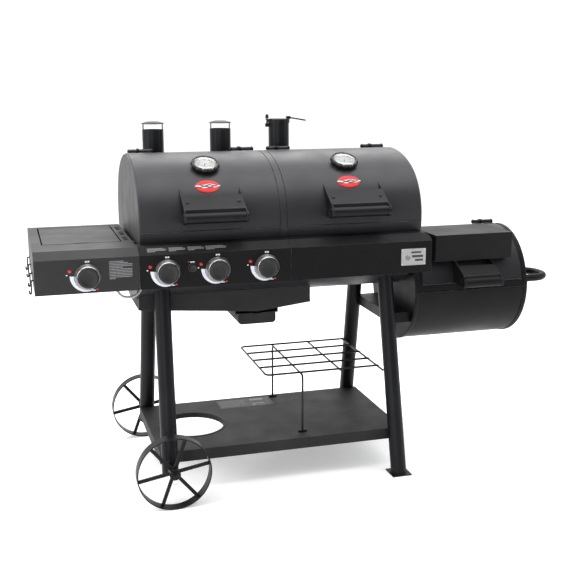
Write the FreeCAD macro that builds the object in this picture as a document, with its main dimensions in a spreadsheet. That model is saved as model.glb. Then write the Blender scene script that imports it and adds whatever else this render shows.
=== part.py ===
import FreeCAD, Part
import math
import os
import Sketcher

# Offset smoker: a gas chamber and a charcoal chamber in one oval barrel on a wheeled stand,
# with a round firebox on the right and a side burner table on the left.
# X runs to the right, Y to the back, Z up; the origin is on the floor under the middle.

V = FreeCAD.Vector
doc = FreeCAD.newDocument("offset_smoker")
sheet = doc.addObject("Spreadsheet::Sheet", "sizes")


# ------------------------------------------------------------------ sizes

class Size:
    """A number that remembers the sheet expression it comes from."""

    def __init__(self, value, text):
        self.value = float(value)
        self.text = text

    def __float__(self):
        return self.value

    def __add__(self, other):
        other = as_size(other)
        return Size(self.value + other.value, f"({self.text} + {other.text})")

    def __sub__(self, other):
        other = as_size(other)
        return Size(self.value - other.value, f"({self.text} - {other.text})")

    def __mul__(self, other):
        other = as_size(other)
        return Size(self.value * other.value, f"({self.text} * {other.text})")

    def __truediv__(self, other):
        other = as_size(other)
        return Size(self.value / other.value, f"({self.text} / {other.text})")

    def __radd__(self, other):
        return as_size(other) + self

    def __rsub__(self, other):
        return as_size(other) - self

    def __rmul__(self, other):
        return as_size(other) * self

    def __neg__(self):
        return as_size(0) - self


def as_size(item):
    """Any number as a Size."""
    if isinstance(item, Size):
        return item
    return Size(item, repr(float(item)))


def square_root(item):
    item = as_size(item)
    return Size(math.sqrt(item.value), f"sqrt({item.text})")


class Sizes:
    """The driving dimensions; each one is a cell of the sheet with an alias."""


DRIVING = {
    # oval barrel
    "barrel_left": -641, "barrel_right": 334, "barrel_half_width": 280,
    "barrel_split": 930, "barrel_rise": 218, "barrel_shoulder": 195,
    "sheet_metal": 2, "cap_plate": 3, "cap_rim": 18, "rear_deck_edge": 85,
    "divider_middle": -162.5,
    # lids
    "lid_gap": 0.8, "lid_metal": 2, "lid_drop": 12, "lid_rear_edge": 60, "lid_lip": 5,
    "lid_end_margin": 5, "lid_middle_margin": 13,
    # hinges
    "hinge_depth": 75, "hinge_height": 1152, "hinge_pin": 4, "hinge_knuckle": 7,
    "hinge_play": 0.06, "hinge_length": 74,
    # lid handles and gauges
    "grip": 17.5, "grip_depth": -337, "grip_height": 968, "handle_span": 202,
    "handle_top": 1052, "handle_foot": 946, "handle_metal": 2.5,
    "gauge_depth": -162, "gauge_radius": 47.5, "gauge_thickness": 12,
    # front shelf, control panel and side table
    "shelf_front": -365, "shelf_bottom": 755, "shelf_knee": 863, "shelf_bevel": 33,
    "shelf_top": 885.6, "shelf_seam": -162.5, "shelf_right": 336,
    "table_left": -975, "table_right": -656, "table_back": 169,
    "burner_lid_left": -942, "burner_lid_right": -691,
    "burner_lid_front": -212, "burner_lid_back": 137, "burner_tray_depth": 42,
    "burner_lid_pin_drop": 5,
    # knobs
    "knob_height": 807, "knob_radius": 33, "knob_bezel": 40.5, "knob_front": -392,
    "knob_first": -568, "knob_pitch": 161.5, "side_knob": -815, "igniter_x": -488,
    # chimneys
    "stack_radius": 38, "stack_wall": 1.5, "stack_depth": 170, "gas_stack_top": 1221,
    "coal_stack_top": 1250, "rain_cap_height": 1241, "rain_cap_radius": 40,
    "stack_first": -520, "stack_second": -273, "stack_third": -50,
    # stand
    "leg_radius": 28, "leg_wall": 2, "left_leg": -564, "right_leg": 267,
    "leg_spread": 292, "leg_splay": 0.21, "leg_lean": 0.015,
    "foot_plate": 73, "foot_metal": 4,
    "bottom_shelf_left": -591, "bottom_shelf_right": 295, "bottom_shelf_half": 242,
    "bottom_shelf_top": 155, "bottom_shelf_rim": 40,
    "tank_hole_x": -435, "tank_hole_radius": 117, "tank_collar": 16,
    # wheels
    "wheel_radius": 125, "wheel_band": 4, "wheel_width": 38, "wheel_depth": 345,
    "axle_radius": 8, "axle_play": 0.06, "axle_end": 392, "hub_radius": 17,
    "hub_half": 25, "spoke_width": 12, "spoke_metal": 5,
    # wire rack
    "rack_left": -195, "rack_right": 230, "rack_front": -165, "rack_back": 213,
    "rack_height": 372, "rack_wire": 3,
    # firebox
    "firebox_left": 351, "firebox_right": 801, "firebox_height": 638,
    "firebox_radius": 207, "firebox_seam": 645, "firebox_lid_edge": 671,
    "firebox_lid_left": 380, "firebox_lid_right": 777, "firebox_hinge_depth": 38,
    "firebox_hinge_height": 853,
    "firebox_grip_depth": -285, "firebox_grip_height": 687,
    "hood_left": 424, "hood_right": 728, "hood_bottom": 755, "hood_top": 850,
    "drawer_radius": 204.3, "drawer_end": 992, "drawer_travel": 350,
}

SHEET_NAME = "sizes"
dim = Sizes()
for row, (alias, number) in enumerate(DRIVING.items(), start=1):
    sheet.set(f"A{row}", alias)
    sheet.set(f"B{row}", str(number))
    sheet.setAlias(f"B{row}", alias)
    setattr(dim, alias, Size(number, f"{SHEET_NAME}.{alias}"))
doc.recompute()


# ------------------------------------------------------------------ helpers

nodes = {}


def node(name, thing):
    """Register a finished sub-part under its own label."""
    thing.Label = name
    nodes[name] = thing
    return thing


def bind(thing, prop, item):
    """Set a property and tie it to the sheet where it comes from there."""
    if isinstance(item, Size):
        thing.setExpression(prop, item.text)


def place(thing, point, rotation=None):
    """Put an object at a point whose coordinates may come from the sheet."""
    base = V(*[float(item) for item in point])
    thing.Placement = FreeCAD.Placement(base, rotation or FreeCAD.Rotation())
    for letter, item in zip("xyz", point):
        bind(thing, f"Placement.Base.{letter}", item)
    return thing


def box(name, low, high):
    """A box between two opposite corners."""
    block = doc.addObject("Part::Box", name)
    for prop, start, end in zip(("Length", "Width", "Height"), low, high):
        span = as_size(end) - start
        setattr(block, prop, span.value)
        bind(block, prop, span)
    return place(block, low)


AXES = {"X": V(1, 0, 0), "Y": V(0, 1, 0), "Z": V(0, 0, 1)}


def cylinder(name, radius, length, base, direction="Z"):
    """A cylinder from a base point along an axis letter or a vector."""
    rod = doc.addObject("Part::Cylinder", name)
    rod.Radius = float(radius)
    rod.Height = float(length)
    bind(rod, "Radius", radius)
    bind(rod, "Height", length)
    way = AXES[direction] if isinstance(direction, str) else direction
    return place(rod, base, FreeCAD.Rotation(V(0, 0, 1), way))


def rod_between(name, radius, start, end):
    """A round rod from one point to another."""
    span = [as_size(b) - a for a, b in zip(start, end)]
    length = square_root(span[0] * span[0] + span[1] * span[1] + span[2] * span[2])
    return cylinder(name, radius, length, start, V(*[float(item) for item in span]))


def fuse(name, parts):
    joined = doc.addObject("Part::MultiFuse", name)
    joined.Shapes = parts
    return joined


def cut(name, base, tools):
    """One object with one or more tools taken away."""
    tool = tools[0] if len(tools) == 1 else fuse(name + "_tools", tools)
    rest = doc.addObject("Part::Cut", name)
    rest.Base = base
    rest.Tool = tool
    return rest


def group(name, parts):
    """Separate solids that make one sub-part."""
    bundle = doc.addObject("Part::Compound", name)
    bundle.Links = parts
    return bundle


def ring(name, outer, inner, length, base, direction="Z"):
    """A tube between two radii."""
    solid = cylinder(name + "_outer", outer, length, base, direction)
    return cut(name, solid, [cylinder(name + "_bore", inner, length, base, direction)])


def arc(across, up, centre, radius):
    """A corner of an outline that an arc leaves, on its way to the next corner."""
    return (across, up, centre, radius)


def start_outline(body, role, lift):
    sketch = body.newObject("Sketcher::SketchObject", body.Name + "_outline")
    plane = next(item for item in body.Origin.OriginFeatures if item.Role == role)
    sketch.AttachmentSupport = [(plane, "")]
    sketch.MapMode = "FlatFace"
    sketch.AttachmentOffset = FreeCAD.Placement(V(0, 0, float(lift)), FreeCAD.Rotation())
    bind(sketch, "AttachmentOffset.Base.z", lift)
    return sketch


def constrain(sketch, kind, item, *where):
    """A dimension of a sketch, tied to the sheet."""
    index = sketch.addConstraint(Sketcher.Constraint(kind, *where, float(item)))
    bind(sketch, f"Constraints[{index}]", item)


def add_edge(sketch, corner, following):
    """Add the line or arc that leaves a corner; give its index and its two end numbers."""
    start = V(float(corner[0]), float(corner[1]), 0)
    end = V(float(following[0]), float(following[1]), 0)
    if len(corner) == 2:
        return sketch.addGeometry(Part.LineSegment(start, end), False), 1, 2
    centre = V(float(corner[2][0]), float(corner[2][1]), 0)
    radius = float(corner[3])
    first = math.atan2(start.y - centre.y, start.x - centre.x)
    last = math.atan2(end.y - centre.y, end.x - centre.x)
    turn = (last - first + math.pi) % (2 * math.pi) - math.pi
    circle = Part.Circle(centre, V(0, 0, 1), radius)
    if turn > 0:
        curve = Part.ArcOfCircle(circle, first, first + turn)
        index, ends = sketch.addGeometry(curve, False), (1, 2)
    else:
        curve = Part.ArcOfCircle(circle, last, last - turn)
        index, ends = sketch.addGeometry(curve, False), (2, 1)
    constrain(sketch, "Radius", corner[3], index)
    return index, *ends


def outline(body, role, corners, lift=0):
    """A closed outline on one of the body's own planes."""
    sketch = start_outline(body, role, lift)
    count = len(corners)
    edges = [add_edge(sketch, corners[i], corners[(i + 1) % count]) for i in range(count)]
    for i, (index, first, last) in enumerate(edges):
        following = edges[(i + 1) % count]
        sketch.addConstraint(
            Sketcher.Constraint("Coincident", index, last, following[0], following[1]))
        constrain(sketch, "DistanceX", corners[i][0], -1, 1, index, first)
        constrain(sketch, "DistanceY", corners[i][1], -1, 1, index, first)
    return sketch


def circles(body, role, rounds, lift=0):
    """Circles (across, up, radius) on one of the body's own planes."""
    sketch = start_outline(body, role, lift)
    for across, up, radius in rounds:
        circle = Part.Circle(V(float(across), float(up), 0), V(0, 0, 1), float(radius))
        index = sketch.addGeometry(circle, False)
        constrain(sketch, "Radius", radius, index)
        constrain(sketch, "DistanceX", across, -1, 1, index, 3)
        constrain(sketch, "DistanceY", up, -1, 1, index, 3)
    return sketch


def rectangle(low, high):
    """Corners of an upright rectangle."""
    return [(low[0], low[1]), (high[0], low[1]), (high[0], high[1]), (low[0], high[1])]


def new_body(name, at=(0, 0, 0)):
    return place(doc.addObject("PartDesign::Body", name), at)


def pad(body, sketch, length, backwards=False):
    feature = body.newObject("PartDesign::Pad", body.Name + "_pad")
    feature.Profile = sketch
    feature.Length = float(length)
    bind(feature, "Length", length)
    feature.Reversed = backwards
    sketch.Visibility = False
    return feature


def pocket(body, sketch, backwards=False, depth=None):
    """Cut an outline into the body, through everything or to a depth."""
    feature = body.newObject("PartDesign::Pocket", body.Name + "_pocket")
    feature.Profile = sketch
    if depth is None:
        feature.Type = "ThroughAll"
    else:
        feature.Length = float(depth)
        bind(feature, "Length", depth)
    feature.Reversed = backwards
    doc.recompute()
    return feature


def sheet_along_x(name, left, strips):
    """A body of (corners, offset from the left, length) strips that run along X."""
    body = new_body(name, (left, 0, 0))
    for corners, lift, length in strips:
        pad(body, outline(body, "YZ_Plane", corners, lift), length)
        doc.recompute()
    return body


def bent_rod(name, radius, points, roundness=0.45):
    """A round bar along straight runs joined by tangent arcs; also gives the arcs' radii."""
    points = [V(*[float(item) for item in point]) for point in points]
    edges = []
    radii = []
    last = points[0]
    for before, here, after in zip(points, points[1:], points[2:]):
        come = (here - before).normalize()
        leave = (after - here).normalize()
        half_turn = come.getAngle(leave) / 2
        setback = roundness * min((here - before).Length, (after - here).Length)
        bend = setback / math.tan(half_turn)
        radii.append(bend)
        enter = here - come * setback
        exit_point = here + leave * setback
        chord_middle = (enter + exit_point) * 0.5
        toward_corner = (here - chord_middle).normalize()
        crest = chord_middle + toward_corner * (bend * (1 - math.cos(half_turn)))
        edges.append(Part.LineSegment(last, enter).toShape())
        edges.append(Part.Arc(enter, crest, exit_point).toShape())
        last = exit_point
    edges.append(Part.LineSegment(last, points[-1]).toShape())
    path = Part.Wire(edges)
    section = Part.Wire([Part.makeCircle(float(radius), points[0], points[1] - points[0])])
    bar = doc.addObject("Part::Feature", name)
    bar.Shape = path.makePipeShell([section], True, False)
    return bar, radii


# ------------------------------------------------------------------ oval barrel section

half = dim.barrel_half_width
split = dim.barrel_split
shoulder = dim.barrel_shoulder
rise = dim.barrel_rise
metal = dim.sheet_metal
inset = half - shoulder
crown = (inset * inset + rise * rise - shoulder * shoulder) / (2 * (rise - shoulder))
crown_low = split + rise - crown
ZERO = as_size(0)


def shoulder_end(offset):
    """Rear point where the shoulder arc meets the crown arc, at an offset from the oval."""
    reach = crown + offset
    scale = reach / (crown - shoulder)
    return scale * inset, crown_low + scale * (split - crown_low)


def on_crown(across, offset=0):
    """Height of the crown arc at a depth."""
    reach = crown + offset
    return crown_low + square_root(reach * reach - across * across)


def on_shoulder(up, offset):
    """Depth of the front shoulder arc at a height."""
    reach = shoulder + offset
    return -inset - square_root(reach * reach - (up - split) * (up - split))


def arch_strip(outer, thickness, drop, rear):
    """Sheet over the upper oval from its front edge to a rear edge, with a straight front lip."""
    inner = as_size(outer) - thickness
    out_y, out_z = shoulder_end(outer)
    in_y, in_z = shoulder_end(inner)
    shoulder_centre = (-inset, split)
    crown_centre = (ZERO, crown_low)
    corners = [
        arc(-(half + outer), split, shoulder_centre, shoulder + outer),
        arc(-out_y, out_z, crown_centre, crown + outer),
        (rear, on_crown(rear, outer)),
        arc(rear, on_crown(rear, inner), crown_centre, crown + inner),
        arc(-in_y, in_z, shoulder_centre, shoulder + inner),
        (-(half + inner), split),
    ]
    if drop is not None:
        corners.append((-(half + inner), split - drop))
        corners.insert(0, (-(half + outer), split - drop))
    return corners


def oval(offset):
    """The whole oval at an offset."""
    side_y, side_z = shoulder_end(offset)
    around = shoulder + offset
    wide = half + offset
    return [
        arc(-wide, split, (-inset, split), around),
        arc(-side_y, side_z, (ZERO, crown_low), crown + offset),
        arc(side_y, side_z, (inset, split), around),
        arc(wide, split, (ZERO, split), wide),
        arc(ZERO, split - wide, (ZERO, split), wide),
    ]


def shell_section():
    """Lower half round and rear deck of the barrel, as one bent sheet."""
    out_y, out_z = shoulder_end(0)
    in_y, in_z = shoulder_end(-metal)
    rear = dim.rear_deck_edge
    low_centre = (ZERO, split)
    return [
        arc(-half, split, low_centre, half),
        arc(ZERO, split - half, low_centre, half),
        arc(half, split, (inset, split), shoulder),
        arc(out_y, out_z, (ZERO, crown_low), crown),
        (rear, on_crown(rear)),
        arc(rear, on_crown(rear, -metal), (ZERO, crown_low), crown - metal),
        arc(in_y, in_z, (inset, split), shoulder - metal),
        arc(half - metal, split, low_centre, half - metal),
        arc(ZERO, split - half + metal, low_centre, half - metal),
        (-half + metal, split),
    ]


# a solid of the whole barrel, that trims what stands on it or hangs under it
barrel_length = dim.barrel_right - dim.barrel_left
barrel_solid = sheet_along_x("barrel_solid", dim.barrel_left, [(oval(0), 0, barrel_length)])

barrel_hollow = sheet_along_x("barrel_hollow", dim.barrel_left, [(oval(-metal), 0, barrel_length)])

knob_places = [dim.knob_first + i * dim.knob_pitch for i in range(3)]
stack_places = [dim.stack_first, dim.stack_second, dim.stack_third]
BURNER_RADIUS = 12.5
MANIFOLD_RADIUS = 9
MANIFOLD_DEPTH = -300
GRATE_TOP = 908
GRATE_BOTTOM = 896
divider_left = dim.divider_middle - 1.5
divider_right = dim.divider_middle + 1.5


def within_barrel(name, thing):
    """The part of an object that lies inside the barrel's sheet, so it ends on the metal."""
    kept = doc.addObject("Part::MultiCommon", name)
    kept.Shapes = [thing, barrel_hollow]
    return kept


def make_barrel_shell():
    left = dim.barrel_left + dim.cap_plate
    length = barrel_length - 2 * dim.cap_plate
    sheet_body = sheet_along_x("shell_sheet", left, [(shell_section(), 0, length)])
    drain = [(dim.divider_middle - 160 - left, ZERO, 30)]
    pocket(sheet_body, circles(sheet_body, "XY_Plane", drain, dim.barrel_split - 200), False)
    burner_holes = [
        cylinder("burner_hole", BURNER_RADIUS, 60, (x, -half - 10, dim.knob_height), "Y")
        for x in knob_places
    ]
    stack_holes = [
        cylinder("stack_hole", 34, 120, (x, dim.stack_depth, 1040)) for x in stack_places
    ]
    bare = cut("shell_bare", sheet_body, burner_holes + stack_holes)
    ledges = []
    for side in (-1, 1):
        inner = 256 * side
        outer = 276.8 * side
        for start, end in ((left, divider_left), (divider_right, left + length)):
            low = (start, min(inner, outer), GRATE_BOTTOM - 3)
            high = (end, max(inner, outer), GRATE_BOTTOM)
            ledges.append(box("grate_ledge", low, high))
    node("barrel_shell", fuse("barrel_shell_body", [bare] + ledges))


def make_end_caps():
    rim = arch_strip(0, metal, None, dim.rear_deck_edge)
    left = sheet_along_x("left_end_cap_body", dim.barrel_left, [
        (oval(0), 0, dim.cap_plate),
        (rim, dim.cap_plate, dim.cap_rim),
    ])
    node("left_end_cap", left)
    right_start = dim.barrel_right - dim.cap_plate - dim.cap_rim
    right = sheet_along_x("right_end_cap_body", right_start, [
        (rim, 0, dim.cap_rim),
        (oval(0), dim.cap_rim, dim.cap_plate),
    ])
    opening = outline(right, "YZ_Plane", rectangle((-80, 700), (80, 815)), 0)
    pocket(right, opening, True)
    node("right_end_cap", right)


def make_divider():
    """Wall between the chambers, with the lid seat and the strap that shows between the lids."""
    strap_width = 22
    seat_width = 49
    strap_rise = dim.lid_gap + dim.lid_metal
    foot_drop = split - dim.shelf_top - 1
    outer_foot = half + strap_rise
    foot = [
        arc(-outer_foot, split, (ZERO, split), outer_foot),
        (-square_root(outer_foot * outer_foot - foot_drop * foot_drop), split - foot_drop),
        arc(-square_root(half * half - foot_drop * foot_drop), split - foot_drop,
            (ZERO, split), half),
        (-half, split),
    ]
    left = dim.divider_middle - seat_width / 2
    strap_lift = (seat_width - strap_width) / 2
    seat = arch_strip(0, metal, None, dim.rear_deck_edge)
    strap = arch_strip(strap_rise, strap_rise + 3, None, dim.lid_rear_edge)
    body = sheet_along_x("divider_body", left, [
        (seat, 0, seat_width),
        (strap, strap_lift, strap_width),
        (foot, strap_lift, strap_width),
        (oval(-metal - 0.05), seat_width / 2 - 1.5, 3),
    ])
    node("chamber_divider", body)


# ------------------------------------------------------------------ lids

def hinge_spans(left):
    """The two lid knuckles and the fixed one between them, along X from a hinge's left end."""
    return (left, left + 20), (left + 36, left + dim.hinge_length), (left + 22, left + 34)


def knuckle(name, span, depth, height, bore):
    return ring(name, dim.hinge_knuckle, bore, span[1] - span[0], (span[0], depth, height), "X")


def lid_knuckles(left, depth, height, tab_low, tab_high):
    """Two knuckles of a lid with the tabs that join them to its sheet."""
    parts = []
    for span in hinge_spans(left)[:2]:
        bore = dim.hinge_pin + dim.hinge_play
        parts.append(knuckle("lid_knuckle", span, depth, height, bore))
        parts.append(box("lid_tab", (span[0], depth - 22, tab_low), (span[1], depth - 4.2, tab_high)))
    return parts


def fixed_hinge(left, depth, height, trim, foot_low, foot_back):
    """A pin with its fixed knuckle on a bracket that stands on the sheet behind it."""
    span = hinge_spans(left)[2]
    pin = cylinder("hinge_pin", dim.hinge_pin, dim.hinge_length + 4, (left - 2, depth, height), "X")
    loop = knuckle("fixed_knuckle", span, depth, height, dim.hinge_pin)
    post = box("hinge_post", (span[0], depth - 4, foot_low), (span[1], foot_back, height - 3))
    return fuse("fixed_hinge", [pin, loop, cut("hinge_foot", post, [trim])])


def lid_sheet(name, left, right):
    """One curved lid sheet with the lip along its front edge."""
    rise_out = dim.lid_gap + dim.lid_metal
    sheet_corners = arch_strip(rise_out, dim.lid_metal, dim.lid_drop, dim.lid_rear_edge)
    front = -(half + rise_out)
    bottom = split - dim.lid_drop
    lip = rectangle((front - dim.lid_lip, bottom), (front + dim.lid_metal / 2, bottom + metal))
    length = right - left
    return sheet_along_x(name, left, [(sheet_corners, 0, length), (lip, 0, length)])


def gauge_frame():
    """Foot and direction of a gauge, square to the lid's crown."""
    rise_out = dim.lid_gap + dim.lid_metal
    reach = float(crown + rise_out)
    up = V(0, float(dim.gauge_depth), math.sqrt(reach ** 2 - float(dim.gauge_depth) ** 2))
    return up.normalize(), reach


def along_gauge(name, radius, start, length, x):
    """A round piece of a gauge, from a height over the lid's face."""
    up, reach = gauge_frame()
    base = V(0, 0, float(crown_low)) + up * (reach + start)
    return cylinder(name, radius, length, (x, base.y, base.z), up)


def make_lid(name, left, right, gauge_x, hinges):
    parts = [lid_sheet(name + "_sheet", left, right)]
    for hinge in hinges:
        parts += lid_knuckles(hinge, dim.hinge_depth, dim.hinge_height, 1144.4, 1148.6)
    whole = fuse(name + "_whole", parts)
    hole = along_gauge(name + "_gauge_hole", 4.5, -12, 24, gauge_x)
    node(name, cut(name + "_drilled", whole, [hole]))
    gauge = fuse(name + "_gauge_body", [
        along_gauge("gauge_stem", 4.3, -70, 75, gauge_x),
        along_gauge("gauge_boss", 18, 0.2, 5, gauge_x),
        along_gauge("gauge_case", dim.gauge_radius, 4, dim.gauge_thickness, gauge_x),
    ])
    node(name.replace("lid", "gauge"), gauge)


def fin_plate(name, x, corners):
    return sheet_along_x(name, x, [(corners, 0, dim.handle_metal)])


def between(start, end, share):
    """A point part of the way from one point to another."""
    return tuple(a + share * (as_size(b) - a) for a, b in zip(start, end))


def handle(name, left, right, top, foot, centre, around, grip_y, grip_z, heel=None):
    """Two fins, the shield plate between them and the tube grip, beyond a curved lid."""
    nose = (grip_y - 12, grip_z + 17)
    corners = [
        top,
        nose,
        (grip_y - 19, grip_z + 4),
        (grip_y - 15, grip_z - 14),
        (grip_y - 2, grip_z - 20),
        arc(foot[0], foot[1], centre, around),
    ]
    if heel is not None:
        corners.append(heel)
    upper = between(top, nose, 0.28)
    lower = between(top, nose, 0.84)
    shield = [upper, lower, (lower[0] + 2.4, lower[1] - 0.4), (upper[0] + 2.4, upper[1] - 0.4)]
    bracket = fuse(name + "_bracket_body", [
        fin_plate(name + "_left_fin", left, corners),
        fin_plate(name + "_right_fin", right - dim.handle_metal, corners),
        sheet_along_x(name + "_shield", left + 1, [(shield, 0, right - left - 2)]),
    ])
    tube = cylinder(name + "_tube", dim.grip, right - left + 8, (left - 4, grip_y, grip_z), "X")
    tube_bore = cylinder(name + "_bore", dim.grip, right - left + 8, (left - 4, grip_y, grip_z), "X")
    node(name, group(name + "_set", [cut(name + "_bracket", bracket, [tube_bore]), tube]))


def lid_handle(name, left):
    offset = dim.lid_gap + dim.lid_metal
    top = (on_shoulder(dim.handle_top, offset), dim.handle_top)
    foot = (on_shoulder(dim.handle_foot, offset), dim.handle_foot)
    handle(name, left, left + dim.handle_span, top, foot, (-inset, split), shoulder + offset,
           dim.grip_depth, dim.grip_height)


GAS_HINGES = (-618, -255)
COAL_HINGES = (-118, 247)


def make_lids():
    gas_right = dim.divider_middle - dim.lid_middle_margin
    coal_left = dim.divider_middle + dim.lid_middle_margin
    make_lid("gas_lid", dim.barrel_left + dim.lid_end_margin, gas_right, -401, GAS_HINGES)
    make_lid("charcoal_lid", coal_left, dim.barrel_right - dim.lid_end_margin, 88, COAL_HINGES)
    lid_handle("gas_lid_handle", as_size(-505))
    lid_handle("charcoal_lid_handle", as_size(-14))


# ------------------------------------------------------------------ front shelf and side table

knee = dim.shelf_knee
bevel_up = dim.shelf_top - knee
bevel_long = square_root(dim.shelf_bevel * dim.shelf_bevel + bevel_up * bevel_up)


def front_profile(back, back_flange=None):
    """Folded sheet: upright front, sloping band and flat top, with a return at the bottom."""
    front = dim.shelf_front
    low = dim.shelf_bottom
    top = dim.shelf_top
    edge = front + dim.shelf_bevel
    knee_fold = metal * (bevel_long - bevel_up) / dim.shelf_bevel
    top_fold = metal * (bevel_long - dim.shelf_bevel) / bevel_up
    corners = [
        (front + 14, low),
        (front, low),
        (front, knee),
        (edge, top),
        (back, top),
        (back, top - metal),
        (edge + top_fold, top - metal),
        (front + metal, knee - knee_fold),
        (front + metal, low + metal),
        (front + 14, low + metal),
    ]
    if back_flange is not None:
        corners[5:6] = [(back, back_flange), (back - metal, back_flange), (back - metal, top - metal)]
    return corners


def end_plate_corners(back):
    """The closing plate of a folded sheet, inside its front and top."""
    front = dim.shelf_front
    return [(front, dim.shelf_bottom), (front, knee), (front + dim.shelf_bevel, dim.shelf_top),
            (back, dim.shelf_top), (back, dim.shelf_bottom)]


def gussets(name, places, holes=()):
    """Upright plates inside the folded front, back to the barrel and trimmed to its curve."""
    front = dim.shelf_front + metal
    top = dim.shelf_top - metal
    fold = dim.shelf_front + dim.shelf_bevel
    corners = [(front, 765), (front, knee - metal), (fold, top), (-200, top), (-200, 765)]
    plates = sheet_along_x(name + "_plates", places[0], [
        (corners, x - places[0], metal) for x in places
    ])
    return cut(name + "_trimmed", plates, [barrel_solid, *holes])


def make_control_panel():
    left = dim.table_right + 1
    body = sheet_along_x("control_panel_body", left, [
        (front_profile(-square_root(half * half - 46 * 46)), 0, dim.shelf_seam - 0.5 - left),
    ])
    shaft_holes = [(x - left, dim.knob_height, 7) for x in knob_places]
    button_hole = [(dim.igniter_x - left, 817, 9)]
    pocket(body, circles(body, "XZ_Plane", shaft_holes + button_hole, 300), True)
    pipe_way = cylinder("pipe_way", MANIFOLD_RADIUS, 350, (-590, MANIFOLD_DEPTH, dim.knob_height), "X")
    brackets = gussets("panel_gusset", (-540, -300), [pipe_way])
    trimmed = cut("panel_trimmed", body, [barrel_solid])
    node("control_panel", fuse("control_panel_held", [trimmed, brackets]))


def make_front_shelf():
    left = dim.shelf_seam + 0.5
    length = dim.shelf_right - left
    back = -square_root(half * half - 46 * 46)
    plate = end_plate_corners(back)
    body = sheet_along_x("front_shelf_body", left, [
        (front_profile(back), 0, length),
        (plate, length - metal, metal),
    ])
    corner = [(length + 1, dim.shelf_top - 11), (length + 1, dim.shelf_top + 1),
              (length - 11, dim.shelf_top + 1)]
    pocket(body, outline(body, "XZ_Plane", corner, 0), False)
    pocket(body, outline(body, "XZ_Plane", corner, 0), True)
    brackets = gussets("shelf_gusset", (-130, 300))
    node("front_shelf", fuse("front_shelf_held", [cut("shelf_trimmed", body, [barrel_solid]), brackets]))


lid_margin = 1.5


def make_side_table():
    left = dim.table_left
    length = dim.table_right - left
    back = dim.table_back
    plate = end_plate_corners(back)
    body = sheet_along_x("side_table_body", left, [
        (front_profile(back, dim.shelf_bottom), 0, length),
        (plate, 0, metal),
        (plate, length - metal, metal),
    ])
    recess = rectangle(
        (dim.burner_lid_left - lid_margin - left, dim.burner_lid_front - lid_margin),
        (dim.burner_lid_right + lid_margin - left, dim.burner_lid_back + 2 * lid_margin))
    pocket(body, outline(body, "XY_Plane", recess, 870), True)
    for block in range(3):
        for slot in range(3):
            front = -192 + block * 112 + slot * 26
            low = (dim.table_right - 23 - left, front)
            high = (dim.table_right - 8 - left, front + 16)
            pocket(body, outline(body, "XY_Plane", rectangle(low, high), 870), True)
    shaft = [(dim.side_knob - left, dim.knob_height, 7)]
    pocket(body, circles(body, "XZ_Plane", shaft, 300), True)
    arms = [
        box("table_arm", (dim.table_right - 1, y, 820), (dim.barrel_left, y + 30, 872))
        for y in (-160, 90)
    ]
    node("side_table", fuse("side_table_held", [body] + arms))


def make_side_burner():
    left = dim.burner_lid_left - lid_margin
    right = dim.burner_lid_right + lid_margin
    front = dim.burner_lid_front - lid_margin
    back = dim.burner_lid_back + 2 * lid_margin
    top = dim.shelf_top - metal
    floor = top - dim.burner_tray_depth
    wall = 1.5
    outside = box("tray_outside", (left - wall, front - wall, floor - wall),
                  (right + wall, back + wall, top))
    inside = box("tray_inside", (left, front, floor), (right, back, top + 1))
    pin_hole = cylinder("lid_pin_hole", 2.5 + dim.hinge_play, right - left + 8,
                        (left - 4, dim.burner_lid_back - 3, dim.shelf_top - dim.burner_lid_pin_drop), "X")
    middle = ((left + right) / 2, (front + back) / 2)
    node("side_burner_tray", cut("side_burner_tray_body", outside, [inside, pin_hole]))
    head = fuse("side_burner_head", [
        cylinder("burner_pot", 46, 16, (middle[0], middle[1], floor)),
        cylinder("burner_cap", 38, 6, (middle[0], middle[1], floor + 16)),
    ])
    node("side_burner", head)
    bars = []
    grate_low = floor + 25
    for i in range(4):
        y = front + 60 + i * 77
        bars.append(box("side_grate_bar", (left + 1, y, grate_low), (right - 1, y + 6, grate_low + 6)))
    for x in (left + 30, middle[0] - 3, right - 36):
        bars.append(box("side_grate_tie", (x, front + 30, grate_low), (x + 6, back - 30, grate_low + 5)))
    for x in (left + 30, right - 36):
        for y in (front + 36, back - 42):
            bars.append(box("side_grate_foot", (x, y, floor), (x + 6, y + 6, grate_low)))
    node("side_burner_grate", fuse("side_burner_grate_body", bars))


def make_side_burner_lid():
    left, right = dim.burner_lid_left, dim.burner_lid_right
    front, back = dim.burner_lid_front, dim.burner_lid_back
    top = dim.shelf_top
    rim = 8
    outside = box("lid_outside", (left, front, top - rim), (right, back, top))
    inside = box("lid_inside", (left + 1.5, front + 1.5, top - rim - 1),
                 (right - 1.5, back - 1.5, top - 1.5))
    middle = (left + right) / 2
    notch = cylinder("finger_notch", 60, rim + 2, (middle, front - 52, top - rim - 1))
    shell = cut("burner_lid_shell", outside, [inside, notch])
    pins = [
        cylinder("lid_pin", 2.5, 5, (x, back - 3, top - dim.burner_lid_pin_drop), "X")
        for x in (left - 3.5, right - 1.5)
    ]
    node("side_burner_lid", fuse("side_burner_lid_body", [shell] + pins))


# ------------------------------------------------------------------ controls

def make_knob(name, x):
    """A round knob with a raised grip and a shaft, turned about Y."""
    front = dim.knob_front
    back = dim.shelf_front - 8
    body = new_body(name + "_turned", (x, front, dim.knob_height))
    deep = back - front
    half_profile = [
        (ZERO, ZERO), (dim.knob_radius - 5, ZERO), (dim.knob_radius - 1, 4),
        (dim.knob_radius, deep), (12, deep), (12, deep + 4), (4, deep + 4), (4, deep + 52),
        (ZERO, deep + 52),
    ]
    sketch = outline(body, "XY_Plane", half_profile)
    turned = body.newObject("PartDesign::Revolution", name + "_revolution")
    turned.Profile = sketch
    turned.ReferenceAxis = (sketch, ["V_Axis"])
    turned.Angle = 360
    sketch.Visibility = False
    node(name, body)


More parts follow.
